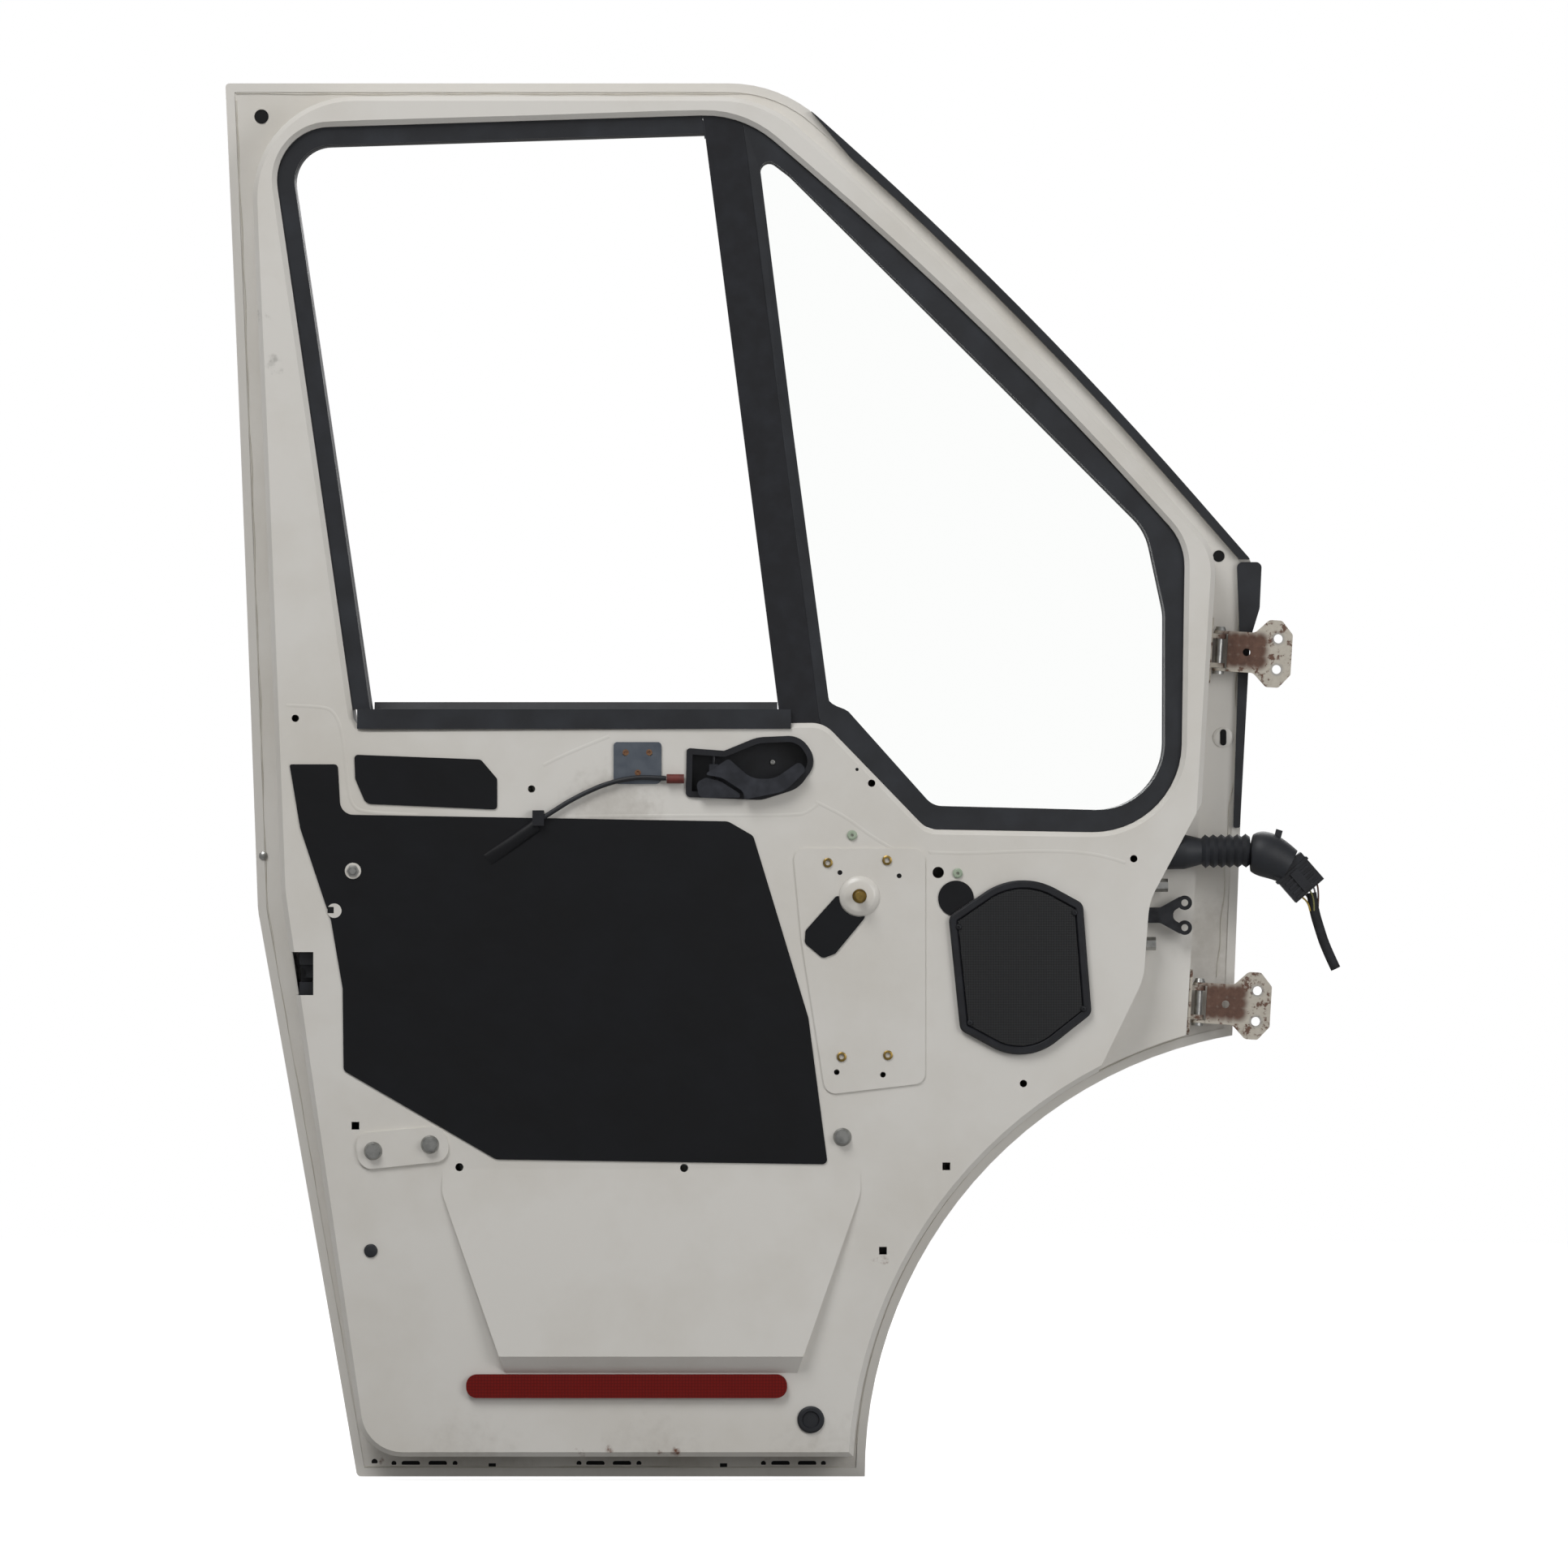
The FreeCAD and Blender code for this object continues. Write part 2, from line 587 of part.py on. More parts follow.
def a_pillar_seal():
    """Seal strip along the sloping front edge."""
    strip = through(DOOR, -SEAT_GAP).cut(through(DOOR, -EDGE_SEAL_WIDTH))
    reach = [(597, up(1430), 0), (597, DOOR_HEIGHT + SEAL_REACH, 0), (FRONT_X + SEAL_REACH, CORNER_Z, 0),
             (FRONT_X + SEAL_REACH / 2, SEAL_CORNER_Z, 0), (FRONT_X - SEAL_REACH, SEAL_CORNER_Z, 0)]
    return skin_layer(strip.common(through(reach)), hem_face_depth(), hem_face_depth() + EDGE_SEAL_DEPTH)


def front_edge_seal():
    """Corner flap below the sloping edge, tapering to a thin strip down the front."""
    flap = [
        (FRONT_X - 15, 953, 6), (FRONT_X + 11, 953, 6), (FRONT_X + 9, 905, 12), (FRONT_X - 1, 872, 20),
        (FRONT_X - 11, 676, 2), (FRONT_X - 18, 676, 2), (FRONT_X - 12, 880, 20),
    ]
    return skin_layer(through(flap), hem_face_depth(), hem_face_depth() + FLAP_DEPTH)


def hinge_place(index):
    """Placement of a hinge, drawn with its pin along z at the local origin: 0 is the lower one."""
    tilt = math.radians(PIN_TILT)
    rise = index * PIN_SPACING
    at = vec(PIN_BASE_X + rise * math.sin(tilt), -PIN_DEPTH, PIN_BASE_Z + rise * math.cos(tilt))
    return FreeCAD.Placement(at, FreeCAD.Rotation(vec(0, 1, 0), PIN_TILT))


def placed(shape, index):
    shape.Placement = hinge_place(index)
    return shape


def pin_bore(low, high):
    return Part.makeCylinder(PIN_RADIUS + PIN_PLAY, high - low, vec(0, 0, low))


def pillar_leaf(index):
    """Pressed leaf that bolts to the pillar: a web with its neck flanges bent outwards round the pin."""
    back = -LEAF_BACK
    front = back - LEAF_T
    neck = LEAF_NECK / 2
    pad = LEAF_PAD / 2
    web = prism([
        (LEAF_START, neck, 0), (NECK_END, neck, 8), (NECK_END + 14, pad, 6), (LEAF_REACH - 12, pad, 4),
        (LEAF_REACH, pad - 14, 4), (LEAF_REACH, 14 - pad, 4), (LEAF_REACH - 12, -pad, 4),
        (NECK_END + 14, -pad, 6), (NECK_END, -neck, 8), (LEAF_START, -neck, 0),
    ], front, back)
    tab = fuse_all([
        Part.makeCylinder(KNUCKLE_R, FLANGE_T),
        Part.makeBox(NECK_END - 4, 2 * KNUCKLE_R, FLANGE_T, vec(0, -KNUCKLE_R, 0)),
        Part.makeBox(NECK_END - 4 - LEAF_START, KNUCKLE_R - front, FLANGE_T, vec(LEAF_START, front, 0)),
    ])
    lower = tab.copy()
    tab.translate(vec(0, 0, neck - FLANGE_T))
    lower.translate(vec(0, 0, -neck))
    leaf = fuse_all([web, tab, lower]).cut(pin_bore(-pad, pad))
    for x, z, radius in [
        (LEAF_BOLT_X, LEAF_BOLT_SPACING / 2, LEAF_BOLT_R),
        (LEAF_BOLT_X, -LEAF_BOLT_SPACING / 2, LEAF_BOLT_R),
        (LEAF_CENTRE_X, 0, LEAF_CENTRE_R),
    ]:
        leaf = leaf.cut(Part.makeCylinder(radius, 60, vec(x, -30, z), vec(0, 1, 0)))
    return placed(leaf, index)


def door_leaf(index):
    """Strip on the front wall with two rounded arms that reach to the pin inside the other leaf."""
    seat = -WALL_GAP + SEAT_GAP
    strip = Part.makeBox(DOOR_LEAF_T, 2 * DOOR_LEAF_HALF_Y, 2 * DOOR_LEAF_HALF_Z,
                         vec(seat, -DOOR_LEAF_HALF_Y, -DOOR_LEAF_HALF_Z))
    strip = strip.makeFillet(DOOR_LEAF_HALF_Y * 0.6, [e for e in strip.Edges
                                                      if abs(e.tangentAt(e.FirstParameter).x) > 0.9])
    arms = []
    top = LEAF_NECK / 2 - FLANGE_T - ARM_GAP
    for low in (-top, top - ARM_T):
        arm = Part.makeCylinder(KNUCKLE_R, ARM_T, vec(0, 0, low))
        web = Part.makeBox(-seat, 2 * KNUCKLE_R, ARM_T, vec(seat, -KNUCKLE_R, low))
        arms.append(arm.fuse(web))
    leaf = fuse_all([strip] + arms).cut(pin_bore(-top, top))
    return placed(leaf, index)


def hinge_pin(index):
    """Headed pin through both leaves, headed over below."""
    end = LEAF_NECK / 2 + PIN_PLAY
    foot = -end - PIN_HEAD_T
    top = end + PIN_HEAD_T + 1
    profile = [
        (0, foot), (PIN_HEAD_R, foot), (PIN_HEAD_R, -end), (PIN_RADIUS, -end), (PIN_RADIUS, end),
        (PIN_HEAD_R, end), (PIN_HEAD_R * 0.75, top), (0, top),
    ]
    return placed(revolve(profile, vec(0, 0, 0), vec(0, 0, 1)), index)


def latch_mouth():
    """Opening in the rear ridge that the striker enters."""
    x0, x1, z0, z1 = LATCH_BOX
    return box(x0 - 40, x1, -FAR, -BODY_DEPTH + LATCH_MOUTH_DEPTH, z0, z1)


def latch_housing():
    """Latch body inside the rear edge: a cased lock with a mouth for the striker."""
    x0, x1, z0, z1 = LATCH_BOX
    front = -BODY_DEPTH + PANEL_T + SEAT_GAP + LATCH_STEP
    body = box(x0 + LATCH_INSET, x1 + LATCH_CASE_DEPTH, front, front + LATCH_CASE_DEPTH,
               z0 - LATCH_MARGIN, z1 + LATCH_MARGIN)
    middle = (z0 + z1) / 2
    mouth = box(x0, x0 + STRIKER_REACH, -FAR, front + LATCH_CASE_DEPTH - LATCH_FLOOR,
                middle - STRIKER_HALF, middle + STRIKER_HALF)
    return body.cut(mouth)


def latch_claw():
    """Forked claw that closes round the striker, shown open in the mouth."""
    x0, x1, z0, z1 = LATCH_BOX
    front = -BODY_DEPTH + PANEL_T + SEAT_GAP + LATCH_STEP
    middle = (z0 + z1) / 2
    shank = box(x0 + LATCH_MARGIN, x0 + STRIKER_REACH - SEAT_GAP, front + CLAW_T, front + 2 * CLAW_T,
                middle - STRIKER_HALF / 2, middle + STRIKER_HALF - SEAT_GAP)
    return shank.cut(along_y(CLAW_R, x0 + LATCH_MARGIN, middle, -FAR, 0))


def check_arm_slot():
    """Slot in the pocket's wall that the check arm slides through."""
    x, z = CHECK_WALL
    half = CHECK_ARM_HEIGHT / 2 + CHECK_PLAY
    y = -CHECK_DEPTH
    side = CHECK_ARM_T / 2 + CHECK_PLAY
    return box(x - CHECK_EYE_X, x + CHECK_EYE_X, y - side, y + side, z - half, z + half)


def check_arm():
    """Door check strap with a forked end and two eyes for the pillar bracket."""
    x, z = CHECK_WALL
    half = CHECK_ARM_HEIGHT / 2
    eye_x = x + CHECK_EYE_X
    gap = CHECK_EYE_SPACING / 2
    fork_x = eye_x - CHECK_FORK
    side = gap + CHECK_EYE_R - 0.5
    upper = [
        (x - CHECK_INSIDE, half, 3), (x + CHECK_NECK, half, 8), (eye_x - 4, side, 3), (eye_x + 2, gap, 0),
        (fork_x, CHECK_FORK / 3, 6),
    ]
    corners = [(px, z + h, r) for px, h, r in upper] + [(px, z - h, r) for px, h, r in reversed(upper)]
    y0 = -CHECK_DEPTH - CHECK_ARM_T / 2
    y1 = y0 + CHECK_ARM_T
    arm = prism(corners, y0, y1)
    for side in (-gap, gap):
        eye = Part.makeCylinder(CHECK_EYE_R, CHECK_ARM_T, vec(eye_x, y0, z + side), vec(0, 1, 0))
        arm = arm.fuse(eye)
    for side in (-gap, gap):
        arm = arm.cut(along_y(CHECK_HOLE_R, eye_x, z + side, -FAR, 0))
    return arm.removeSplitter()


def check_fixing_nuts():
    """Two nuts that hold the check to the pocket's wall, cut to sit flat on it."""
    wall = through(POCKET, -SEAT_GAP)
    nuts = []
    for x, z in CHECK_NUTS:
        nut = hexagon(NUT_ACROSS, 2 * NUT_HEIGHT, vec(x - NUT_HEIGHT, -CHECK_DEPTH, z), vec(1, 0, 0))
        nuts.append(nut.common(wall))
    return Part.makeCompound(nuts)


def hexagon(across, height, centre, axis):
    """Hexagonal nut or bolt head standing on its centre along the axis."""
    radius = across / math.sqrt(3)
    points = [vec(radius * math.cos(math.radians(60 * k)), radius * math.sin(math.radians(60 * k)), 0)
              for k in range(7)]
    nut = Part.Face(Part.makePolygon(points)).extrude(vec(0, 0, height))
    nut.Placement = FreeCAD.Placement(centre, FreeCAD.Rotation(vec(0, 0, 1), axis))
    return nut


def on_face(corners, thickness, lift=0.0, grow=0.0):
    """Flat piece that lies on the inner face, lifted off it by the seat gap and any lift."""
    back = -BODY_DEPTH - SEAT_GAP - lift
    return prism(corners, back - thickness, back, grow)


def along_y(radius, x, z, y0, y1):
    return Part.makeCylinder(radius, y1 - y0, vec(x, y0, z), vec(0, 1, 0))


def upright(radius, x, y, z0, z1):
    return Part.makeCylinder(radius, z1 - z0, vec(x, y, z0))


def handle_bezel():
    """Moulded bezel with its finger cup and the upright pin that the lever and rocker turn on."""
    front = -BODY_DEPTH - SEAT_GAP - HANDLE_FLANGE_T
    flange = on_face(HANDLE, HANDLE_FLANGE_T)
    cup = prism(HANDLE, front, front + CUP_DEPTH + CUP_WALL, -HANDLE_RIM - SEAT_GAP)
    hollow = prism(HANDLE, -FAR, front + CUP_DEPTH, -HANDLE_RIM - SEAT_GAP - CUP_WALL)
    rod = upright(LEVER_PIN_R, LEVER_PIN_X, -LEVER_PIN_DEPTH, HANDLE[-1][1], HANDLE[0][1])
    rod = rod.common(prism(HANDLE, front, front + CUP_DEPTH, -HANDLE_RIM - SEAT_GAP - CUP_WALL / 2))
    return flange.fuse(cup).cut(hollow).fuse(rod).removeSplitter()


def pivoted_plate(corners, rise, thickness, lug_z):
    """Plate in front of the bezel with a lug that turns on the upright pin."""
    back = -BODY_DEPTH - SEAT_GAP - HANDLE_FLANGE_T - rise
    plate = prism(corners, back - thickness, back)
    lug = box(LEVER_PIN_X - LUG_HALF, LEVER_PIN_X + LUG_HALF, back - thickness / 2, -LEVER_PIN_DEPTH, *lug_z)
    lug = lug.fuse(upright(LUG_HALF, LEVER_PIN_X, -LEVER_PIN_DEPTH, *lug_z))
    bore = upright(LEVER_PIN_R + PIN_PLAY, LEVER_PIN_X, -LEVER_PIN_DEPTH, *lug_z)
    return plate.fuse(lug).cut(bore).removeSplitter()


def route(points, y, radius):
    """Round tube along straight runs with an arc at every inner point."""
    at = [vec(x, y, z) for x, z in points]
    edges = []
    last = at[0]
    for before, here, after in zip(at, at[1:], at[2:]):
        back = before - here
        ahead = after - here
        reach = 0.45 * min(back.Length, ahead.Length)
        half = back.getAngle(ahead) / 2
        bend = reach * math.tan(half)
        back.normalize()
        ahead.normalize()
        middle = (back + ahead).normalize() * (bend / math.sin(half) - bend)
        edges.append(Part.LineSegment(last, here + back * reach).toShape())
        edges.append(Part.Arc(here + back * reach, here + middle, here + ahead * reach).toShape())
        last = here + ahead * reach
    edges.append(Part.LineSegment(last, at[-1]).toShape())
    path = Part.Wire(edges)
    ring = Part.Wire(Part.makeCircle(radius, at[0], at[1] - at[0]))
    tube = path.makePipeShell([ring], True, False)
    return tube


def release_cable():
    return route(CABLE_POINTS, CABLE_Y, CABLE_R)


def cable_end_sleeve():
    """Rubber sleeve where the cable enters the bezel."""
    x0, x1 = SLEEVE_X
    return Part.makeCylinder(SLEEVE_R, x1 - x0, vec(x0, CABLE_Y, SLEEVE_Z), vec(1, 0, 0))


def cable_clip():
    """Clip that holds the cable's far end on the panel."""
    x, z = CABLE_POINTS[-1]
    seat = -BODY_DEPTH - FOIL_T - 2 * SEAT_GAP
    clip = box(x - CLIP_HALF - 3, x + CLIP_HALF - 3, CABLE_Y - CABLE_R - CLIP_WALL, seat,
               z - CLIP_HALF - 1, z + CLIP_HALF + 3)
    start = vec(x, CABLE_Y, z)
    ahead = vec(CABLE_POINTS[-2][0] - x, 0, CABLE_POINTS[-2][1] - z).normalize()
    return clip.cut(Part.makeCylinder(CABLE_R + PIN_PLAY, FAR, start - ahead * SEAT_GAP, ahead))


def armrest_bracket():
    """Plated plate with three fixing holes."""
    x0, x1, z0, z1 = BRACKET
    plate = on_face([(x0, z0, 6), (x1, z0, 6), (x1, z1, 4), (x0, z1, 4)], BRACKET_T)
    for x, z in [
        (x0 + BRACKET_INSET, z1 - BRACKET_INSET), (x1 - BRACKET_INSET, z1 - BRACKET_INSET),
        ((x0 + x1) / 2, z0 + BRACKET_INSET),
    ]:
        plate = plate.cut(along_y(BRACKET_HOLE_R, x, z, -FAR, 0))
    return plate


def grille_frame():
    """Raised surround of the speaker, open in the middle."""
    frame = on_face(GRILLE, GRILLE_T)
    frame = frame.cut(prism(GRILLE, -FAR, 0, -GRILLE_RIM))
    return frame.makeChamfer(2.0, [e for e in frame.Edges if e.BoundBox.YMax < -BODY_DEPTH - GRILLE_T])


def grille_mesh():
    """Punched sheet inside the surround."""
    front = -BODY_DEPTH - GRILLE_T
    return prism(GRILLE, front, front + GRILLE_MESH_T, -GRILLE_RIM - SEAT_GAP)


def slot_patch():
    """Foil patch on the raised area, cut round the winder's boss."""
    x, z = WINDER
    return on_face(SLOT_PATCH, FOIL_T, LOCK_LIFT).cut(along_y(WINDER_BOSS_R + SEAT_GAP, x, z, -FAR, 0))


def round_patch():
    """Round foil patch, cut off by the speaker's surround."""
    x, z, radius = ROUND_PATCH
    back = -BODY_DEPTH - SEAT_GAP
    return along_y(radius, x, z, back - FOIL_T, back).cut(through(GRILLE, SEAT_GAP))


def winder_boss():
    """Domed boss round the window winder's spindle."""
    x, z = WINDER
    r = WINDER_BOSS_R
    hole = WINDER_SPINDLE_R + 2.5
    lift = WINDER_BOSS_LIFT
    profile = [(hole, 0), (r, 0), (r - 1, lift * 0.3), (r * 0.75, lift * 0.8), (hole + 2, lift), (hole, lift)]
    return revolve(profile, vec(x, -BODY_DEPTH - LOCK_LIFT - SEAT_GAP, z), vec(0, -1, 0))


def winder_spindle():
    """Toothed spindle of the window regulator, with its round base plate behind the panel's boss."""
    x, z = WINDER
    start = -BODY_DEPTH - LOCK_LIFT - SEAT_GAP
    r = WINDER_SPINDLE_R
    end = WINDER_SPINDLE_LENGTH
    collar = r + 2.2
    profile = [(0, 0), (collar, 0), (collar, 2.5), (r, 2.5), (r, end - 1), (r - 1, end), (0, end)]
    return revolve(profile, vec(x, start, z), vec(0, -1, 0))


def flange_bolts():
    """Flanged bolts of the window regulator."""
    bolts = []
    profile = [(0, 0), (BOLT_FLANGE_R, 0), (BOLT_FLANGE_R - 1.5, BOLT_FLANGE_T), (0, BOLT_FLANGE_T)]
    for x, z in REGULATOR_BOLTS:
        raised = EMBOSS_LIFT if x < REGULATOR_BOLTS[-1][0] else 0
        seat = vec(x, -BODY_DEPTH - raised - SEAT_GAP, z)
        flange = revolve(profile, seat, vec(0, -1, 0))
        bolts.append(flange.fuse(hexagon(BOLT_HEAD, BOLT_HEAD_T, seat, vec(0, -1, 0))).removeSplitter())
    return Part.makeCompound(bolts)


def turned_set(places, profile):
    """Like turned pieces seated on the inner face."""
    seats = [vec(x, -BODY_DEPTH - SEAT_GAP - raised, z) for x, z, raised in places]
    return Part.makeCompound([revolve(profile, seat, vec(0, -1, 0)) for seat in seats])


def plug(x, z, radius, y, slope=0.0):
    """Domed blanking plug on a face that may slope with height."""
    profile = [(0, 0), (radius, 0), (radius, 1.0), (radius * 0.8, 2.0), (0, 2.6)]
    return revolve(profile, vec(x, y - SEAT_GAP, z), vec(0, -1, -slope))


def grommet():
    """Ring-shaped drain grommet."""
    x, z, r = GROMMET
    profile = [(0, 0), (r, 0), (r, 1.5), (r - 2, 3.2), (r - 5, 3.2), (r - 6, 1.2), (0, 1.2)]
    return revolve(profile, vec(x, -BODY_DEPTH - SEAT_GAP, z), vec(0, -1, 0))


def harness_gaiter():
    """Bellows with a wide root, cut to the slanting wall that it comes out of."""
    start = vec(GAITER_START[0], GAITER_Y, GAITER_START[1])
    end = vec(GAITER_END[0], GAITER_Y, GAITER_END[1])
    length = (end - start).Length
    root = length * 0.44
    profile = [(0, 0), (GAITER_R + 2.5, 0), (GAITER_R + 2.5, root * 0.55), (GAITER_R - 2, root)]
    count = int((length - root) / GAITER_PITCH)
    pitch = (length - root) / count
    for k in range(count):
        profile.append((GAITER_R + GAITER_RIDGE, root + (k + 0.5) * pitch))
        profile.append((GAITER_R - GAITER_RIDGE / 2, root + (k + 1) * pitch))
    profile.append((0, length))
    return revolve(profile, start, end - start).common(through(POCKET, -SEAT_GAP))


def harness_boot():
    """Curved rubber boot that swells and then narrows to its rim, hollow for the connector."""
    rings = []
    for i, (x, z, radius) in enumerate(BOOT_POINTS):
        before = BOOT_POINTS[max(0, i - 1)]
        after = BOOT_POINTS[min(len(BOOT_POINTS) - 1, i + 1)]
        ahead = vec(after[0] - before[0], 0, after[1] - before[1])
        rings.append(Part.Wire(Part.makeCircle(radius, vec(x, GAITER_Y, z), ahead)))
    boot = Part.makeLoft(rings, True)
    joint = GAITER_END[0] + 2 * SEAT_GAP
    boot = boot.cut(box(joint - FAR / 4, joint, -FAR, FAR, 0, DOOR_HEIGHT))
    play = 2 * SEAT_GAP
    return boot.cut(connector_block(CONNECTOR_DEPTH + play, CONNECTOR_WIDTH + play, GAITER_R))


def connector_block(depth, width, extra=0.0):
    """Straight block along the connector's axis."""
    ahead = vec(CONNECTOR_END[0] - CONNECTOR_START[0], 0, CONNECTOR_END[1] - CONNECTOR_START[1])
    length = ahead.Length
    block = Part.makeBox(width, depth, length + extra, vec(-width / 2, -depth / 2, 0))
    turn = math.degrees(math.atan2(ahead.x, ahead.z))
    block.Placement = FreeCAD.Placement(vec(CONNECTOR_START[0], GAITER_Y, CONNECTOR_START[1]),
                                        FreeCAD.Rotation(vec(0, 1, 0), turn))
    return block


def pull_handle():
    """Outside pull handle: a bar on two feet that stand on the skin."""
    x0, x1, z, height = PULL_HANDLE
    seat = skin_y(z) + SEAT_GAP
    half = height / 2
    corners = [(x0, z + half, PULL_T), (x1, z + half, PULL_T), (x1, z - half, PULL_T), (x0, z - half, PULL_T)]
    bar = prism(corners, seat + PULL_REACH - PULL_T, seat + PULL_REACH)
    feet = []
    for x in (x0 + PULL_FOOT / 6, x1 - PULL_FOOT * 7 / 6):
        feet.append(box(x, x + PULL_FOOT, seat, seat + PULL_REACH - PULL_T / 2, z - half + 2, z + half - 2))
    return fuse_all([bar] + feet)


def side_moulding():
    """Rub strip along the outside, ending at the wheel arch."""
    z0, z1 = MOULDING_Z
    strip = through(DOOR, -2.0).cut(arch(2.0)).common(box(-FAR, SPAN_X, -FAR, FAR, z0, z1))
    return strip.common(skin_cylinder(-MOULDING_T)).cut(skin_cylinder(-SEAT_GAP))


CABLE_Y = -BODY_DEPTH - BRACKET_T - 2 * SEAT_GAP - CABLE_R
LOWER = hinge_place(0)
ORIGIN = LOWER.multVec(vec(LEAF_BOLT_X, -LEAF_BACK, 0))

os.makedirs("parts", exist_ok=True)
save("outer_skin", outer_skin())
save("inner_panel", inner_panel())
save("glass_run_channel", glass_run_channel())
save("division_bar", division_bar())
save("quarter_glass", quarter_glass())
save("quarter_glass_seal", quarter_glass_seal())
save("drop_glass", drop_glass())
save("inner_belt_seal", inner_belt_seal())
save("outer_belt_seal", belt_seal(1))
save("a_pillar_seal", a_pillar_seal())
save("front_edge_seal", front_edge_seal())
for index, word in enumerate(("lower", "upper")):
    save(word + "_hinge_door_leaf", door_leaf(index))
    save(word + "_hinge_pillar_leaf", pillar_leaf(index))
    save(word + "_hinge_pin", hinge_pin(index))
save("latch_housing", latch_housing())
save("latch_claw", latch_claw())
save("check_arm", check_arm())
save("check_fixing_nuts", check_fixing_nuts())
save("handle_bezel", handle_bezel())
save("release_lever", pivoted_plate(LEVER, LEVER_RISE, LEVER_T, LEVER_LUG_Z))
save("lock_rocker", pivoted_plate(ROCKER, ROCKER_RISE, ROCKER_T, ROCKER_LUG_Z))
save("release_cable", release_cable())
save("cable_end_sleeve", cable_end_sleeve())
save("cable_clip", cable_clip())
save("armrest_bracket", armrest_bracket())
save("main_membrane", on_face(MAIN_MEMBRANE, FOIL_T))
save("upper_membrane", on_face(UPPER_MEMBRANE, FOIL_T))
save("slot_patch", slot_patch())
save("round_patch", round_patch())
save("speaker_grille_frame", grille_frame())
save("speaker_grille_mesh", grille_mesh())
save("winder_boss", winder_boss())
save("winder_spindle", winder_spindle())
save("regulator_bolts", flange_bolts())
INSERT = [(2.6, 0), (5.0, 0), (5.0, 1.0), (4.0, 1.6), (2.6, 1.6)]
SOCKET = [(1.6, 0), (5.2, 0), (5.2, 1.2), (3.8, 2.4), (1.6, 2.4)]
save("threaded_inserts", turned_set([(x, z, LOCK_LIFT) for x, z in INSERTS], INSERT))
save("clip_sockets", turned_set([(x, z, 0) for x, z in CLIP_SOCKETS], SOCKET))
save("drain_grommet", grommet())
save("round_plug", plug(*PLUGS[0], -BODY_DEPTH))
FLANGE_Y = skin_y(OVAL_PLUG[1]) - SKIN_T - LAYER_GAP - PANEL_T
save("oval_plug", plug(*OVAL_PLUG, FLANGE_Y, (OVAL_PLUG[1] - SKIN_FULLEST_Z) / SKIN_RADIUS))
save("red_reflector", on_face(REFLECTOR, REFLECTOR_T))
save("harness_gaiter", harness_gaiter())
save("harness_boot", harness_boot())
save("harness_connector", connector_block(CONNECTOR_DEPTH, CONNECTOR_WIDTH))
save("harness_tail", route(TAIL_POINTS, GAITER_Y, TAIL_R))
save("pull_handle", pull_handle())
save("side_moulding", side_moulding())
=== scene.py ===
# %% [markdown]
# A bare van front door, seen from inside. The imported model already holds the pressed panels, seals,
# hinges and handle at their real size and place. This lesson dresses them: it gives every piece the
# finish of the real one and adds the small things that a press shop, a trim line and years of use leave
# behind. Only the quarter window, its rubber and its pane, is eased in shape.

# %% Load the frame
import math

import bmesh
import bpy
from mathutils import Matrix, Vector, geometry


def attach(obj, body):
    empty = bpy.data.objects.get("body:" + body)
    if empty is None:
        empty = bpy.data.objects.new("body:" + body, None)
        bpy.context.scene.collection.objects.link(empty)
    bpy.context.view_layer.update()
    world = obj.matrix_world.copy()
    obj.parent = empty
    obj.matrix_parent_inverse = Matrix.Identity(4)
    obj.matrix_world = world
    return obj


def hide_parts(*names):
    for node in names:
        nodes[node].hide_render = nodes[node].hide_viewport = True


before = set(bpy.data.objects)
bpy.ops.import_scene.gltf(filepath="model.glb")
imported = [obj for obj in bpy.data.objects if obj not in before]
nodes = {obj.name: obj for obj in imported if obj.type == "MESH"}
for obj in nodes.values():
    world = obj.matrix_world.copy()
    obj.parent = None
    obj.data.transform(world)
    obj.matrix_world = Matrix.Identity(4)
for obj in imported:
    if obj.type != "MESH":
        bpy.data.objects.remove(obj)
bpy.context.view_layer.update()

# %% [markdown]
# The door was drawn in millimetres from its lower rear corner, with depth counted from the fullest point
# of the skin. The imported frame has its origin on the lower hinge. One function turns a drawing place into
# a point of the frame, so that every later cell can speak in the maker's own millimetres.

# %% Places on the drawing
MM = 0.001
DRAWING_ORIGIN = Vector((1070.594, -34.0, 490.43))
FACE_Y = -82.0
SKIN_RADIUS = 6000.0
SKIN_FULLEST_Z = 535.0
HEM_DEPTH = 2.5


def at(x, z, y=FACE_Y):
    """Point of the frame, in metres, for a place on the drawing in millimetres."""
    return (Vector((x, y, z)) - DRAWING_ORIGIN) * MM


def skin_y(z):
    """Depth of the outer skin at height z on the drawing."""
    return math.sqrt(SKIN_RADIUS ** 2 - (z - SKIN_FULLEST_Z) ** 2) - SKIN_RADIUS


def flange_y(z):
    """Depth of the hem flange's inner face."""
    return skin_y(z) - HEM_DEPTH


print("lower rear corner", at(0, 0, 0))

# %% [markdown]
# The photograph was taken square on, from far enough away that the sides of the door stay parallel. A long
# lens at eight metres gives the same look. The frame of the picture is 1932 pixels wide at 0.84 mm each.

# %% Camera
PICTURE_PIXELS = 1932
MM_PER_PIXEL = 0.84
PICTURE_WIDTH = PICTURE_PIXELS * MM_PER_PIXEL * MM
CAMERA_DISTANCE = 8.0
PICTURE_CENTRE = at(578.8, 721.6)

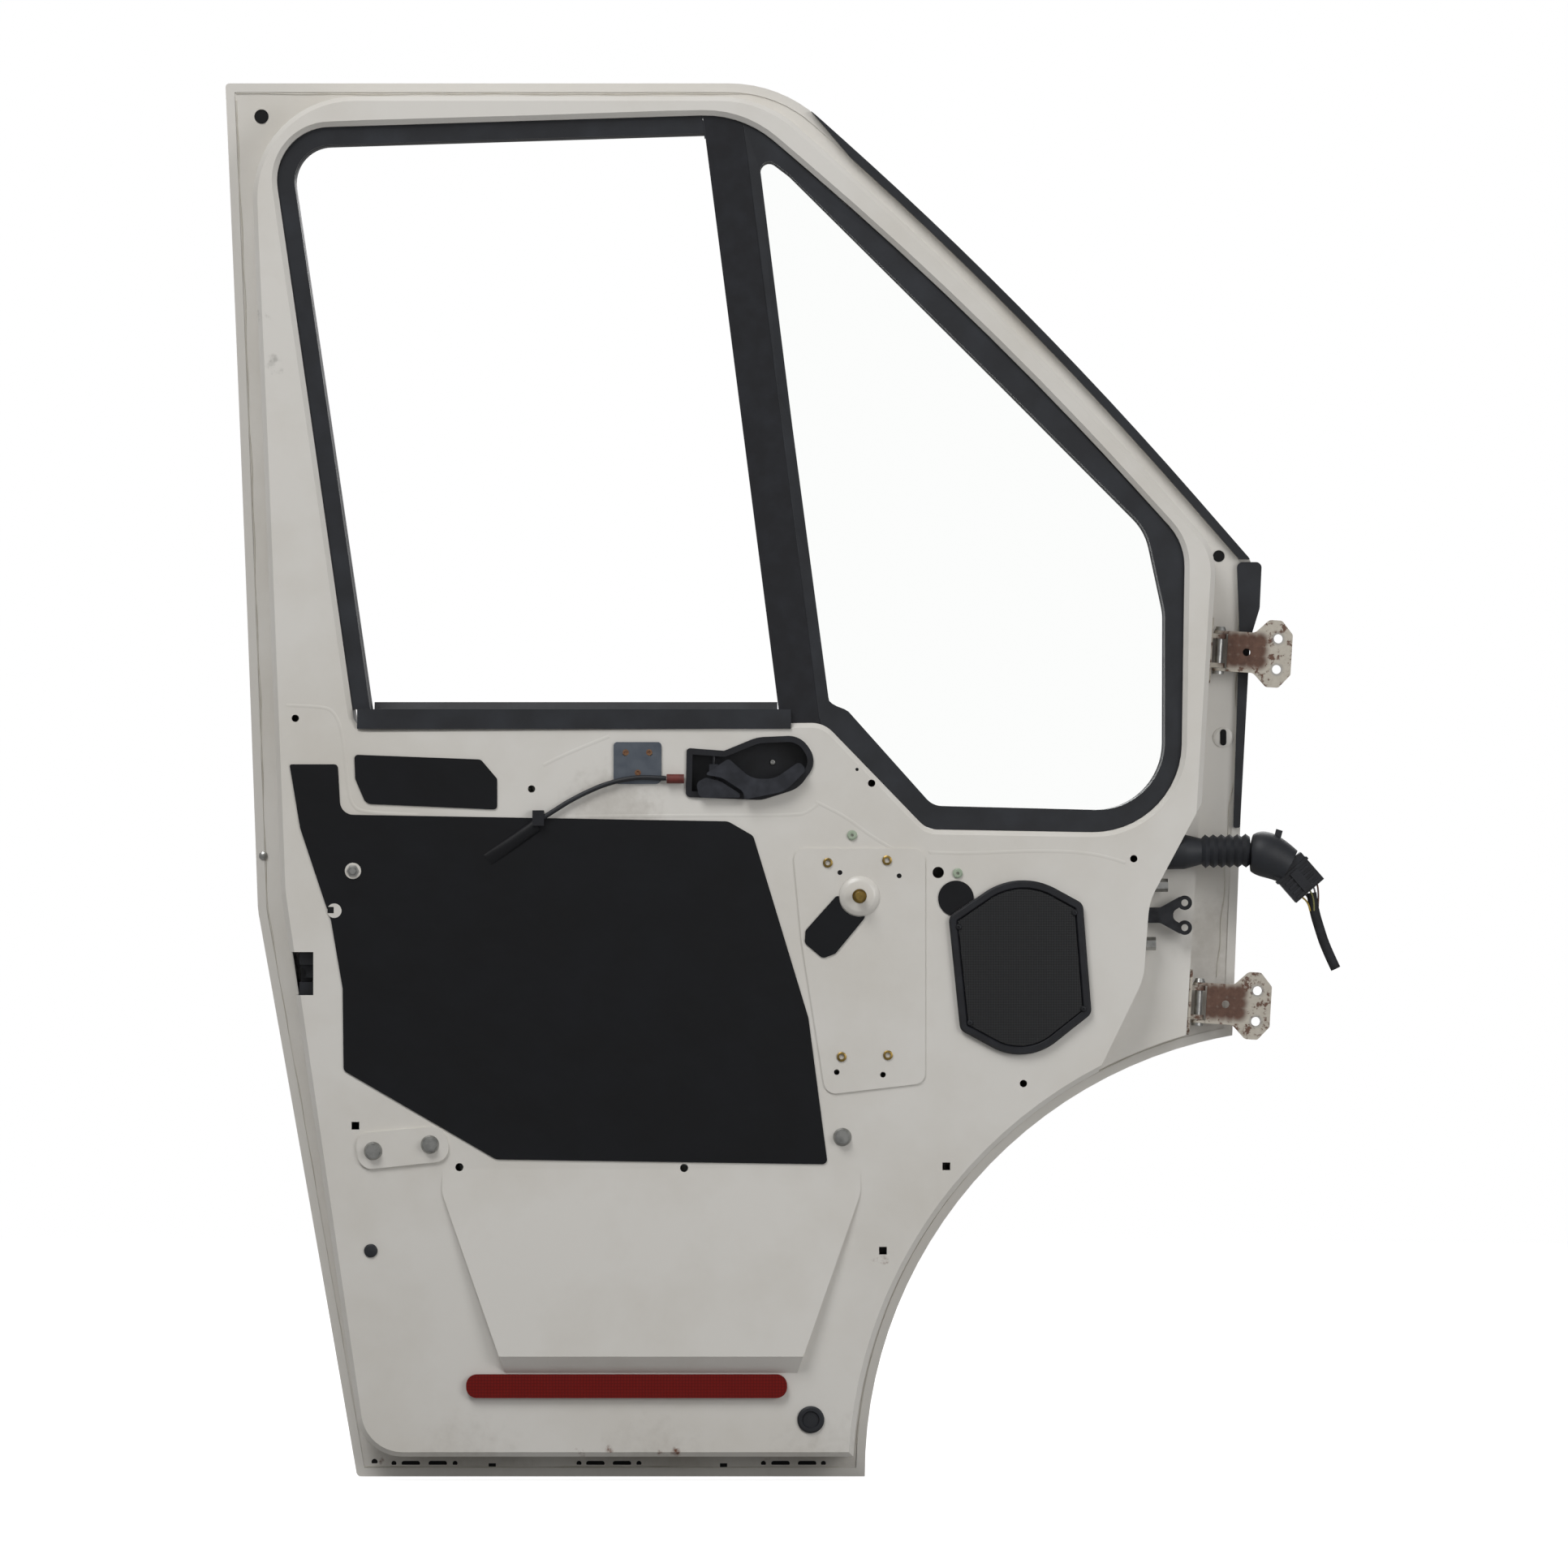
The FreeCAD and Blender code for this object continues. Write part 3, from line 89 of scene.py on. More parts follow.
lens = bpy.data.cameras.new("camera")
lens.sensor_width = 36.0
lens.lens = lens.sensor_width * CAMERA_DISTANCE / PICTURE_WIDTH
lens.clip_end = 100
camera = bpy.data.objects.new("camera", lens)
camera.location = PICTURE_CENTRE + Vector((0, -CAMERA_DISTANCE, 0))
camera.rotation_euler = (math.radians(90), 0, 0)
bpy.context.collection.objects.link(camera)
bpy.context.scene.camera = camera
bpy.context.scene.view_settings.view_transform = "Standard"
print("lens", round(lens.lens, 1), "mm")

# %% [markdown]
# Colours are written as the sRGB values that an eye or a picture editor gives, and the renderer works in
# linear light, so one function turns the first into the second. A second small function adds a shader node
# with its settings and links, which keeps each material down to the lines that describe it.

# %% Colour and node helpers
def colour(code):
    """Linear colour for an sRGB hex value."""
    parts = [int(code[i:i + 2], 16) / 255 for i in (1, 3, 5)]
    return [p / 12.92 if p <= 0.04045 else ((p + 0.055) / 1.055) ** 2.4 for p in parts] + [1.0]


def add_node(tree, kind, props=None, values=None, links=None):
    """Add a node, set its properties and socket values, and link sockets from other nodes' outputs."""
    node = tree.nodes.new(kind)
    for key, value in (props or {}).items():
        setattr(node, key, value)
    for key, value in (values or {}).items():
        node.inputs[key].default_value = value
    for key, source in (links or {}).items():
        tree.links.new(source, node.inputs[key])
    return node


def start_material(name, sockets):
    """New material with its shader's own sockets set; returns material, tree, shader and coordinates."""
    material = bpy.data.materials.new(name)
    material.use_nodes = True
    tree = material.node_tree
    shader = tree.nodes["Principled BSDF"]
    for key, value in sockets.items():
        shader.inputs[key].default_value = value
    place = add_node(tree, "ShaderNodeTexCoord").outputs["Object"]
    return material, tree, shader, place


def per_metre(size_mm):
    """Texture scale that gives features of about this size."""
    return 1.0 / (size_mm * MM)


print("white as linear", colour("#ffffff")[:3])

# %% [markdown]
# A pale studio: the sky is white to the camera and through glass, dim for lighting and a little brighter
# in reflections, so that the background is clean without more light on the door. The floor glows white
# for the camera and keeps a real diffuse part.

# %% Floor, sky and lamps
SKY_LIGHT = 0.21
SKY_SHEEN = 0.08
FLOOR_CENTRE = at(578.8, -2.0, 1200.0)
FLOOR_HALF = 3.0

world = bpy.data.worlds.new("studio")
bpy.context.scene.world = world
world.use_nodes = True
sky = world.node_tree
sky.nodes.clear()
rays = add_node(sky, "ShaderNodeLightPath").outputs
seen = add_node(sky, "ShaderNodeMath", {"operation": "MAXIMUM"},
                links={0: rays["Is Camera Ray"], 1: rays["Is Transmission Ray"]})
mirrored = add_node(sky, "ShaderNodeMath", {"operation": "MULTIPLY_ADD"}, {1: SKY_SHEEN, 2: SKY_LIGHT},
                    {0: rays["Is Glossy Ray"]})
strength = add_node(sky, "ShaderNodeMath", {"operation": "MAXIMUM"},
                    links={0: seen.outputs[0], 1: mirrored.outputs[0]})
white = add_node(sky, "ShaderNodeBackground", values={"Color": colour("#ffffff")},
                 links={"Strength": strength.outputs[0]})
add_node(sky, "ShaderNodeOutputWorld", links={"Surface": white.outputs[0]})

floor_material = bpy.data.materials.new("pale studio floor")
floor_material.use_nodes = True
floor_tree = floor_material.node_tree
floor_tree.nodes.clear()
floor_rays = add_node(floor_tree, "ShaderNodeLightPath").outputs
floor_diffuse = add_node(floor_tree, "ShaderNodeBsdfDiffuse", values={"Color": colour("#a8a8a8")})
floor_glow = add_node(floor_tree, "ShaderNodeEmission", values={"Color": colour("#f2f2f2")},
                      links={"Strength": floor_rays["Is Camera Ray"]})
floor_sum = add_node(floor_tree, "ShaderNodeAddShader",
                     links={0: floor_diffuse.outputs[0], 1: floor_glow.outputs[0]})
add_node(floor_tree, "ShaderNodeOutputMaterial", links={"Surface": floor_sum.outputs[0]})

floor_mesh = bpy.data.meshes.new("floor")
shape = bmesh.new()
bmesh.ops.create_grid(shape, x_segments=1, y_segments=1, size=FLOOR_HALF,
                      matrix=Matrix.Translation(FLOOR_CENTRE))
shape.to_mesh(floor_mesh)
shape.free()
floor = bpy.data.objects.new("floor", floor_mesh)
floor.data.materials.append(floor_material)
bpy.context.collection.objects.link(floor)


def lamp(name, place, aim, size, power):
    """Square soft box that looks from its place towards a point."""
    light = bpy.data.lights.new(name, "AREA")
    light.size = size
    light.energy = power
    box = bpy.data.objects.new(name, light)
    box.location = place
    box.rotation_euler = (Vector(aim) - Vector(place)).to_track_quat("-Z", "Y").to_euler()
    bpy.context.collection.objects.link(box)


DOOR_MIDDLE = at(530, 720)
lamp("key_box", DOOR_MIDDLE + Vector((-1.2, -2.4, 3.0)), DOOR_MIDDLE, size=2.0, power=84)
lamp("fill_box", DOOR_MIDDLE + Vector((2.4, -2.6, 0.6)), DOOR_MIDDLE, size=1.8, power=34)
lamp("back_box", DOOR_MIDDLE + Vector((0.6, 2.6, 1.8)), DOOR_MIDDLE, size=2.0, power=70)

# %% [markdown]
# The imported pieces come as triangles, split at every face. Pressed steel has soft creases and rubber has
# round edges, so a small node group welds the triangles, shades them smoothly and keeps only the steep
# edges sharp. A weighted normal after it keeps the large flat areas flat. The shapes stay as they are.

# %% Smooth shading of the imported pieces
def smoothing_group(name, limit_degrees):
    """Node group that welds a mesh and shades it smooth below an edge angle."""
    group = bpy.data.node_groups.new(name, "GeometryNodeTree")
    group.interface.new_socket("Geometry", in_out="INPUT", socket_type="NodeSocketGeometry")
    group.interface.new_socket("Geometry", in_out="OUTPUT", socket_type="NodeSocketGeometry")
    start = add_node(group, "NodeGroupInput")
    weld = add_node(group, "GeometryNodeMergeByDistance", values={"Distance": 0.00001},
                    links={"Geometry": start.outputs[0]})
    smooth = add_node(group, "GeometryNodeSetShadeSmooth", {"domain": "FACE"}, {"Shade Smooth": True},
                      {"Geometry": weld.outputs[0]})
    angle = add_node(group, "GeometryNodeInputMeshEdgeAngle")
    steep = add_node(group, "FunctionNodeCompare", {"operation": "GREATER_THAN"},
                     {1: math.radians(limit_degrees)}, {0: angle.outputs["Unsigned Angle"]})
    sharp = add_node(group, "GeometryNodeSetShadeSmooth", {"domain": "EDGE"}, {"Shade Smooth": False},
                     {"Geometry": smooth.outputs[0], "Selection": steep.outputs[0]})
    add_node(group, "NodeGroupOutput", links={0: sharp.outputs[0]})
    return group


SOFT_CREASES = smoothing_group("soft_creases", 52)
MACHINED_EDGES = smoothing_group("machined_edges", 32)
SOFT_NODES = ("quarter_glass_seal", "glass_run_channel", "harness_boot",
              "harness_gaiter", "side_moulding", "pull_handle", "front_edge_seal", "a_pillar_seal")

for name, node in nodes.items():
    welded = node.modifiers.new("smooth shading", "NODES")
    welded.node_group = SOFT_CREASES if name in SOFT_NODES else MACHINED_EDGES
    weighted = node.modifiers.new("flat areas", "WEIGHTED_NORMAL")
    weighted.keep_sharp = True
print("smoothed", len(nodes))

# %% [markdown]
# Body paint. Inside a door the enamel is thin: it has a faint orange peel, collects a warm film of dust,
# wears grey where the seals rub and rusts where bare edges were left, at hinges, drain holes and the bottom
# flange. Each fault is a ragged spot at a place read from the photograph, laid over the clean enamel.

# %% Painted steel
SPOT_CORE = 0.35


def spot_mask(tree, place, spots, ragged_mm):
    """Mask that is one inside each (point, radius in mm) and fades raggedly to nothing round it."""
    noise = add_node(tree, "ShaderNodeTexNoise", values={"Scale": per_metre(9), "Detail": 6.0},
                     links={"Vector": place})
    shift = add_node(tree, "ShaderNodeVectorMath", {"operation": "SUBTRACT"}, {1: (0.5, 0.5, 0.5)},
                     {0: noise.outputs["Color"]})
    moved = add_node(tree, "ShaderNodeVectorMath", {"operation": "MULTIPLY_ADD"},
                     {1: [ragged_mm * MM] * 3}, {0: shift.outputs[0], 2: place})
    total = None
    for point, radius in spots:
        gap = add_node(tree, "ShaderNodeVectorMath", {"operation": "DISTANCE"}, {1: point},
                       {0: moved.outputs[0]})
        near = add_node(tree, "ShaderNodeMapRange", {"interpolation_type": "SMOOTHSTEP"},
                        {"From Min": radius * MM, "From Max": radius * MM * SPOT_CORE},
                        {"Value": gap.outputs["Value"]})
        here = near.outputs[0]
        if total is not None:
            both = add_node(tree, "ShaderNodeMath", {"operation": "MAXIMUM"}, links={0: total, 1: here})
            here = both.outputs[0]
        total = here
    return total


def mixed(tree, share, under, over):
    """Colour that goes from one to another; each is a fixed colour or another node's output."""
    node = add_node(tree, "ShaderNodeMix", {"data_type": "RGBA"})
    for socket, value in ((node.inputs[6], under), (node.inputs[7], over)):
        if isinstance(value, list):
            socket.default_value = value
        else:
            tree.links.new(value, socket)
    tree.links.new(share, node.inputs[0])
    return node.outputs[2]


RUST_SPOTS = [
    (at(1003, 452, -40), 12), (at(1004, 545, -55), 10), (at(1028, 815, -40), 10), (at(1031, 905, -40), 12),
    (at(681, 228), 7), (at(676, 229), 5), (at(368, 28), 8),
    (at(399, 32), 5), (at(467, 29), 8), (at(452, 27), 4),
    (at(560, 15, -25), 5), (at(158, 16, -25), 6), (at(92, 652), 6), (at(384, 12, -25), 4),
]
SCUFFS = [
    (at(42, 1205), 12), (at(52, 1157), 14),
    (at(980, 300, -30), 20), (at(70, 640, -60), 14), (at(1000, 860, -60), 12),
]
# Darker, browner patches at these places: along the bottom flange, by the lower hinge and on the face near the
# handle.
DARK_PATCHES = [
    (at(440, 8, -26), 90), (at(250, 8, -26), 90), (at(620, 8, -26), 90),
    (at(1035, 560, -15), 60), (at(400, 690), 60),
]
PAINT_ROUGHNESS = 0.34


def painted_steel(name, wear):
    """Cream enamel over steel; wear from 0 to 1 strengthens its dust film and its darker patches."""
    material, tree, shader, place = start_material(name, {
        "Roughness": PAINT_ROUGHNESS, "Coat Weight": 0.25, "Coat Roughness": 0.12, "IOR": 1.48})
    cloud = add_node(tree, "ShaderNodeTexNoise",
                     values={"Scale": per_metre(170), "Detail": 5.0, "Roughness": 0.6},
                     links={"Vector": place})
    film = add_node(tree, "ShaderNodeMapRange",
                    values={"From Min": 0.42, "From Max": 0.75, "To Max": 0.55 * wear},
                    links={"Value": cloud.outputs["Fac"]})
    paint = mixed(tree, film.outputs[0], colour("#e1ded8"), colour("#cdc7bc"))
    # Darker, browner patches at the listed places, broken up by the fine noise.
    dark_patch_mask = spot_mask(tree, place, DARK_PATCHES, 60)
    speck = add_node(tree, "ShaderNodeTexNoise",
                     values={"Scale": per_metre(14), "Detail": 7.0, "Roughness": 0.7},
                     links={"Vector": place})
    patchy = add_node(tree, "ShaderNodeMath", {"operation": "MULTIPLY"},
                      links={0: dark_patch_mask, 1: speck.outputs["Fac"]})
    darkened = add_node(tree, "ShaderNodeMath", {"operation": "MULTIPLY"}, {1: 0.5 * wear},
                      {0: patchy.outputs[0]})
    paint = mixed(tree, darkened.outputs[0], paint, colour("#8f8576"))
    scuffed = spot_mask(tree, place, SCUFFS, 30)
    streak = add_node(tree, "ShaderNodeMath", {"operation": "MULTIPLY"},
                      links={0: scuffed, 1: speck.outputs["Fac"]})
    paint = mixed(tree, streak.outputs[0], paint, colour("#9a9892"))
    rust = spot_mask(tree, place, RUST_SPOTS, 16)
    broken = add_node(tree, "ShaderNodeMapRange", values={"From Min": 0.42, "From Max": 0.62},
                      links={"Value": speck.outputs["Fac"]})
    eaten = add_node(tree, "ShaderNodeMath", {"operation": "MULTIPLY"},
                     links={0: rust, 1: broken.outputs[0]})
    paint = mixed(tree, eaten.outputs[0], paint, colour("#6b3f28"))
    tree.links.new(paint, shader.inputs["Base Color"])
    dull = add_node(tree, "ShaderNodeMapRange", values={"To Min": PAINT_ROUGHNESS, "To Max": 0.8},
                    links={"Value": eaten.outputs[0]})
    tree.links.new(dull.outputs[0], shader.inputs["Roughness"])
    peel = add_node(tree, "ShaderNodeTexNoise", values={"Scale": per_metre(5), "Detail": 2.0},
                    links={"Vector": place})
    bump = add_node(tree, "ShaderNodeBump", values={"Strength": 0.035, "Distance": 0.0006},
                    links={"Height": peel.outputs["Fac"]})
    tree.links.new(bump.outputs[0], shader.inputs["Normal"])
    return material


ENAMEL = painted_steel("cream enamel on steel, dusty", 1.0)
OUTER_ENAMEL = painted_steel("cream enamel on steel, clean", 0.25)
print("paint", ENAMEL.name, "and", OUTER_ENAMEL.name)

# %% [markdown]
# The other finishes. Most are one colour with a fine bump whose size is given in millimetres: the grain
# of a moulding tool, the dull skin of rubber or the ripples of a bitumen foil. One function makes them all,
# from the colour, the roughness and the grain, with a paler or darker blotch for handling and dust.

# %% Plain finishes
def plain(name, code, blotch, blotch_mm, grain_mm, grain_depth_mm, **sockets):
    """Material of one colour with soft blotches of another and a grain of the given size and depth."""
    material, tree, shader, place = start_material(name, sockets)
    cloud = add_node(tree, "ShaderNodeTexNoise", values={"Scale": per_metre(blotch_mm), "Detail": 6.0},
                     links={"Vector": place})
    share = add_node(tree, "ShaderNodeMapRange", values={"From Min": 0.4, "From Max": 0.72},
                     links={"Value": cloud.outputs["Fac"]})
    tree.links.new(mixed(tree, share.outputs[0], colour(code), colour(blotch)), shader.inputs["Base Color"])
    grain = add_node(tree, "ShaderNodeTexNoise", values={"Scale": per_metre(grain_mm), "Detail": 4.0},
                     links={"Vector": place})
    bump = add_node(tree, "ShaderNodeBump", values={"Strength": 1.0, "Distance": grain_depth_mm * MM},
                    links={"Height": grain.outputs["Fac"]})
    tree.links.new(bump.outputs[0], shader.inputs["Normal"])
    return material


RUBBER = plain("EPDM rubber, weathered", "#191b20", "#25282e", 40, 2.5, 0.05, Roughness=0.55)
CORD_TAPE = plain("cloth tape, black", "#17181b", "#24262b", 12, 1.4, 0.12, Roughness=0.8)
FOIL = plain("bitumen foil, satin black", "#08090d", "#0c0e13", 60, 28, 0.5,
             **{"Roughness": 0.5, "Specular IOR Level": 0.3})
PLASTIC = plain("ABS moulding, fine grain black", "#131419", "#1d1f25", 18, 0.9, 0.04, Roughness=0.42)
LEVER_PLASTIC = plain("nylon moulding, worn charcoal", "#22242a", "#34363d", 14, 0.9, 0.03, Roughness=0.36)
GALVANISED = plain("zinc plated steel, dulled", "#b4b4b1", "#8e8e8c", 9, 1.6, 0.03,
                   Roughness=0.38, Metallic=1.0)
DARK_STEEL = plain("phosphated steel, black", "#3a3b3e", "#2a2a2c", 10, 1.2, 0.03,
                   Roughness=0.45, Metallic=0.8)
ZINC_PAINT = plain("grey primer on steel", "#565d66", "#49505a", 12, 1.4, 0.03, Roughness=0.5)
BRASS = plain("cast brass, dull", "#a58a4e", "#7d6a3f", 6, 1.0, 0.03, Roughness=0.4, Metallic=1.0)
RED_RUBBER = plain("red rubber, matt", "#6b2a23", "#4f2420", 6, 1.0, 0.04, Roughness=0.6)
GREEN_NYLON = plain("nylon, pale green", "#a9b7a2", "#98a792", 6, 1.0, 0.03, Roughness=0.4)
# Painted shade: a flat black that stands for the shaded inside of holes and slots.
HOLE_SHADE_BLACK = plain("shadow black, matt", "#08080a", "#0b0b0d", 10, 1.0, 0.01, Roughness=0.9)
print("plain finishes", len(bpy.data.materials))

# %% [markdown]
# Four finishes need their own pattern. Hinges are painted with the body; their webs have rusted through,
# and bare pads show where the bolts sat. Clear glass passes light with a faint green tint. The reflector is
# a red acrylic with rows of small prisms behind it, and the speaker mesh a sheet punched in a fine grid.

# %% Patterned finishes
PIN_TILT = math.radians(3.4)
PIN_BASE = Vector((1010.5, 0, 494.0))
PIN_SPACING = 367.0
WEB_Y = -38.0
WEB_ACROSS = (6, 15, 24, 33, 41)
WEB_UP = (-8, 2, 12)
PAD_ACROSS = 60.2
PAD_UP = (-16, 16)


def on_hinge(index, x, z):
    """Point on a hinge's web: x ahead of its pin and z along it, on the lower (0) or upper (1) hinge."""
    rise = z + index * PIN_SPACING
    return at(PIN_BASE.x + x * math.cos(PIN_TILT) + rise * math.sin(PIN_TILT),
              PIN_BASE.z - x * math.sin(PIN_TILT) + rise * math.cos(PIN_TILT), WEB_Y)


WEB_RUST = [(on_hinge(i, x, z), 13) for i in (0, 1) for x in WEB_ACROSS for z in WEB_UP]
BARE_PADS = [(on_hinge(i, PAD_ACROSS, z), 8.5) for i in (0, 1) for z in PAD_UP]


def rusty_paint():
    """Cream paint with a web rusted brown and bare pads where the bolts sat."""
    material, tree, shader, place = start_material("cream enamel on steel, rusted through", {"Roughness": 0.5})
    fine = add_node(tree, "ShaderNodeTexNoise",
                    values={"Scale": per_metre(7), "Detail": 8.0, "Roughness": 0.65},
                    links={"Vector": place})
    chips = add_node(tree, "ShaderNodeMapRange", values={"From Min": 0.52, "From Max": 0.60},
                     links={"Value": fine.outputs["Fac"]})
    web = spot_mask(tree, place, WEB_RUST, 3)
    eaten = add_node(tree, "ShaderNodeMath", {"operation": "MAXIMUM"}, links={0: web, 1: chips.outputs[0]})
    brown = mixed(tree, fine.outputs["Fac"], colour("#3d2a24"), colour("#7a5b4c"))
    worn = mixed(tree, fine.outputs["Fac"], colour("#d2ccc0"), colour("#a39a8c"))
    coat = mixed(tree, eaten.outputs[0], worn, brown)
    coat = mixed(tree, spot_mask(tree, place, BARE_PADS, 3), coat, colour("#9b9a98"))
    tree.links.new(coat, shader.inputs["Base Color"])
    rough = add_node(tree, "ShaderNodeMapRange", values={"To Min": 0.42, "To Max": 0.8},
                     links={"Value": eaten.outputs[0]})
    tree.links.new(rough.outputs[0], shader.inputs["Roughness"])
    bump = add_node(tree, "ShaderNodeBump", values={"Strength": 0.6, "Distance": 0.0004},
                    links={"Height": fine.outputs["Fac"]})
    tree.links.new(bump.outputs[0], shader.inputs["Normal"])
    return material


def clear_glass():
    """Tempered glass that lets the lamps' light through for shadows."""
    material, tree, shader, _ = start_material("tempered glass, clear", {
        "Base Color": colour("#fcfdfc"), "Roughness": 0.0, "Transmission Weight": 1.0, "IOR": 1.1,
        "Specular IOR Level": 0.5})
    rays_in = add_node(tree, "ShaderNodeLightPath").outputs
    pass_on = add_node(tree, "ShaderNodeBsdfTransparent", values={"Color": colour("#f6f9f7")})
    either = add_node(tree, "ShaderNodeMixShader",
                      links={0: rays_in["Is Shadow Ray"], 1: shader.outputs[0], 2: pass_on.outputs[0]})
    tree.links.new(either.outputs[0], tree.nodes["Material Output"].inputs["Surface"])
    return material


def grid_finish(name, cell_mm, low, high, depth_mm, sockets):
    """Regular cells of a given size that go from one colour at their middle to another at their edge."""
    material, tree, shader, place = start_material(name, sockets)
    cells = add_node(tree, "ShaderNodeTexVoronoi", values={"Scale": per_metre(cell_mm), "Randomness": 0.0},
                     links={"Vector": place})
    share = add_node(tree, "ShaderNodeMapRange", values={"From Min": 0.3, "From Max": 0.5},
                     links={"Value": cells.outputs["Distance"]})
    tree.links.new(mixed(tree, share.outputs[0], colour(low), colour(high)), shader.inputs["Base Color"])
    bump = add_node(tree, "ShaderNodeBump", values={"Strength": 0.8, "Distance": depth_mm * MM},
                    links={"Height": cells.outputs["Distance"]})
    tree.links.new(bump.outputs[0], shader.inputs["Normal"])
    return material


RUSTY = rusty_paint()
GLASS = clear_glass()
REFLECTOR = grid_finish("acrylic reflector, red prisms", 3.2, "#78100a", "#620b07", 0.1,
                        {"Roughness": 0.3, "Specular IOR Level": 0.3})
MESH = grid_finish("punched steel mesh, black", 2.6, "#030304", "#101216", 0.4, {"Roughness": 0.5})
print("patterned", RUSTY.name, GLASS.name, REFLECTOR.name, MESH.name)

# %% [markdown]
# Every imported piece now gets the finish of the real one. Anything not named in the table is in body
# colour.

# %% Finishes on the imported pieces
FINISHES = {
    RUBBER: ("glass_run_channel", "quarter_glass_seal", "inner_belt_seal", "outer_belt_seal", "a_pillar_seal",
             "front_edge_seal", "drain_grommet", "round_plug", "harness_gaiter", "harness_boot",
             "release_cable", "harness_tail"),
    PLASTIC: ("division_bar", "handle_bezel", "speaker_grille_frame", "pull_handle", "side_moulding",
              "harness_connector", "latch_housing", "cable_clip"),
    LEVER_PLASTIC: ("release_lever", "lock_rocker"),
    FOIL: ("main_membrane", "upper_membrane", "slot_patch", "round_patch"),
    GLASS: ("quarter_glass", "drop_glass"),
    GALVANISED: ("check_fixing_nuts", "regulator_bolts", "lower_hinge_pin", "upper_hinge_pin"),
    DARK_STEEL: ("check_arm", "latch_claw"),
    ZINC_PAINT: ("armrest_bracket",),
    BRASS: ("threaded_inserts", "winder_spindle"),
    GREEN_NYLON: ("clip_sockets",),
    RED_RUBBER: ("cable_end_sleeve",),
    REFLECTOR: ("red_reflector",),
    MESH: ("speaker_grille_mesh",),
    RUSTY: ("lower_hinge_door_leaf", "upper_hinge_door_leaf",
            "lower_hinge_pillar_leaf", "upper_hinge_pillar_leaf"),
    OUTER_ENAMEL: ("outer_skin",),
}
finish_of = {name: material for material, names in FINISHES.items() for name in names}
for name, node in nodes.items():
    node.data.materials.clear()
    node.data.materials.append(finish_of.get(name, ENAMEL))
print("body colour", [name for name in nodes if name not in finish_of])

# %% [markdown]
# The loom leaves the door through a rubber gaiter and ends in a connector, and from that a taped tail
# hangs, cut off bare. A cord is drawn as one smooth curve with a round section, on the route that the
# solid takes.

# %% Taped tail of the loom
TAIL_Y = -64.0
TAIL_RADIUS = 5.2 * MM
TAIL_PLACES = ((1126, 608.7), (1128.2, 592), (1134.4, 571), (1140.8, 551.6), (1151.1, 530))
TAIL_ROUTE = [at(x, z, TAIL_Y) for x, z in TAIL_PLACES]

tail_curve = bpy.data.curves.new("loom_tail", "CURVE")
tail_curve.dimensions = "3D"
tail_curve.bevel_depth = TAIL_RADIUS
tail_curve.bevel_resolution = 4
tail_curve.use_fill_caps = True
tail_spline = tail_curve.splines.new("NURBS")
tail_spline.points.add(len(TAIL_ROUTE) - 1)
for point, place in zip(tail_spline.points, TAIL_ROUTE):
    point.co = (*place, 1.0)
tail_spline.order_u = 3
tail_spline.use_endpoint_u = True
tail = bpy.data.objects.new("loom_tail", tail_curve)
tail.data.materials.append(CORD_TAPE)
bpy.context.collection.objects.link(tail)
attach(tail, "door")
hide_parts("harness_tail")

# %% [markdown]
# The small pieces need three ways of making: turned things such as screws and rivets, flat things cut to an
# outline such as patches and slots, and strands such as wires and beads of sealer. Each way gets one
# function. Like pieces are gathered into one mesh, as a fitter would tip them out of one bag.

# %% Ways of making small pieces
INWARD = Vector((0, -1, 0))


def add_turned(shape, profile, place, axis=INWARD, steps=20):
    """Add a turned solid: the profile is radius and height in mm along the axis from its place."""
    blank = bmesh.new()
    points = [blank.verts.new((r * MM, 0, h * MM)) for r, h in profile]
    edges = [blank.edges.new(pair) for pair in zip(points, points[1:])]
    bmesh.ops.spin(blank, geom=points + edges, cent=(0, 0, 0), axis=(0, 0, 1), angle=math.tau, steps=steps,
                   use_merge=True)
    bmesh.ops.remove_doubles(blank, verts=blank.verts, dist=1e-7)
    turn = Vector((0, 0, 1)).rotation_difference(axis).to_matrix().to_4x4()
    bmesh.ops.transform(blank, matrix=Matrix.Translation(place) @ turn, verts=blank.verts)
    gather(shape, blank)


def add_slab(shape, corners, front, back):
    """Add a flat piece: corners are x and z on the drawing, front and back its depths in mm."""
    blank = bmesh.new()
    face = blank.faces.new([blank.verts.new(at(x, z, front)) for x, z in corners])
    grown = bmesh.ops.extrude_face_region(blank, geom=[face])
    moved = [v for v in grown["geom"] if isinstance(v, bmesh.types.BMVert)]
    bmesh.ops.translate(blank, verts=moved, vec=(0, (back - front) * MM, 0))
    gather(shape, blank)


def gather(shape, blank):
    """Put one finished solid into the mesh that collects its kind."""
    bmesh.ops.recalc_face_normals(blank, faces=blank.faces)
    loose = bpy.data.meshes.new("loose")
    blank.to_mesh(loose)
    blank.free()
    shape.from_mesh(loose)
    bpy.data.meshes.remove(loose)


def put(name, shape, material, body="door", sharp_degrees=35):
    """Turn a finished mesh into a piece that rides on a body."""
    mesh = bpy.data.meshes.new(name)
    shape.to_mesh(mesh)
    shape.free()
    mesh.shade_smooth()
    mesh.set_sharp_from_angle(angle=math.radians(sharp_degrees))
    mesh.materials.append(material)
    made = bpy.data.objects.new(name, mesh)
    bpy.context.collection.objects.link(made)
    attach(made, body)
    print(name, len(mesh.polygons), "faces")
    return made


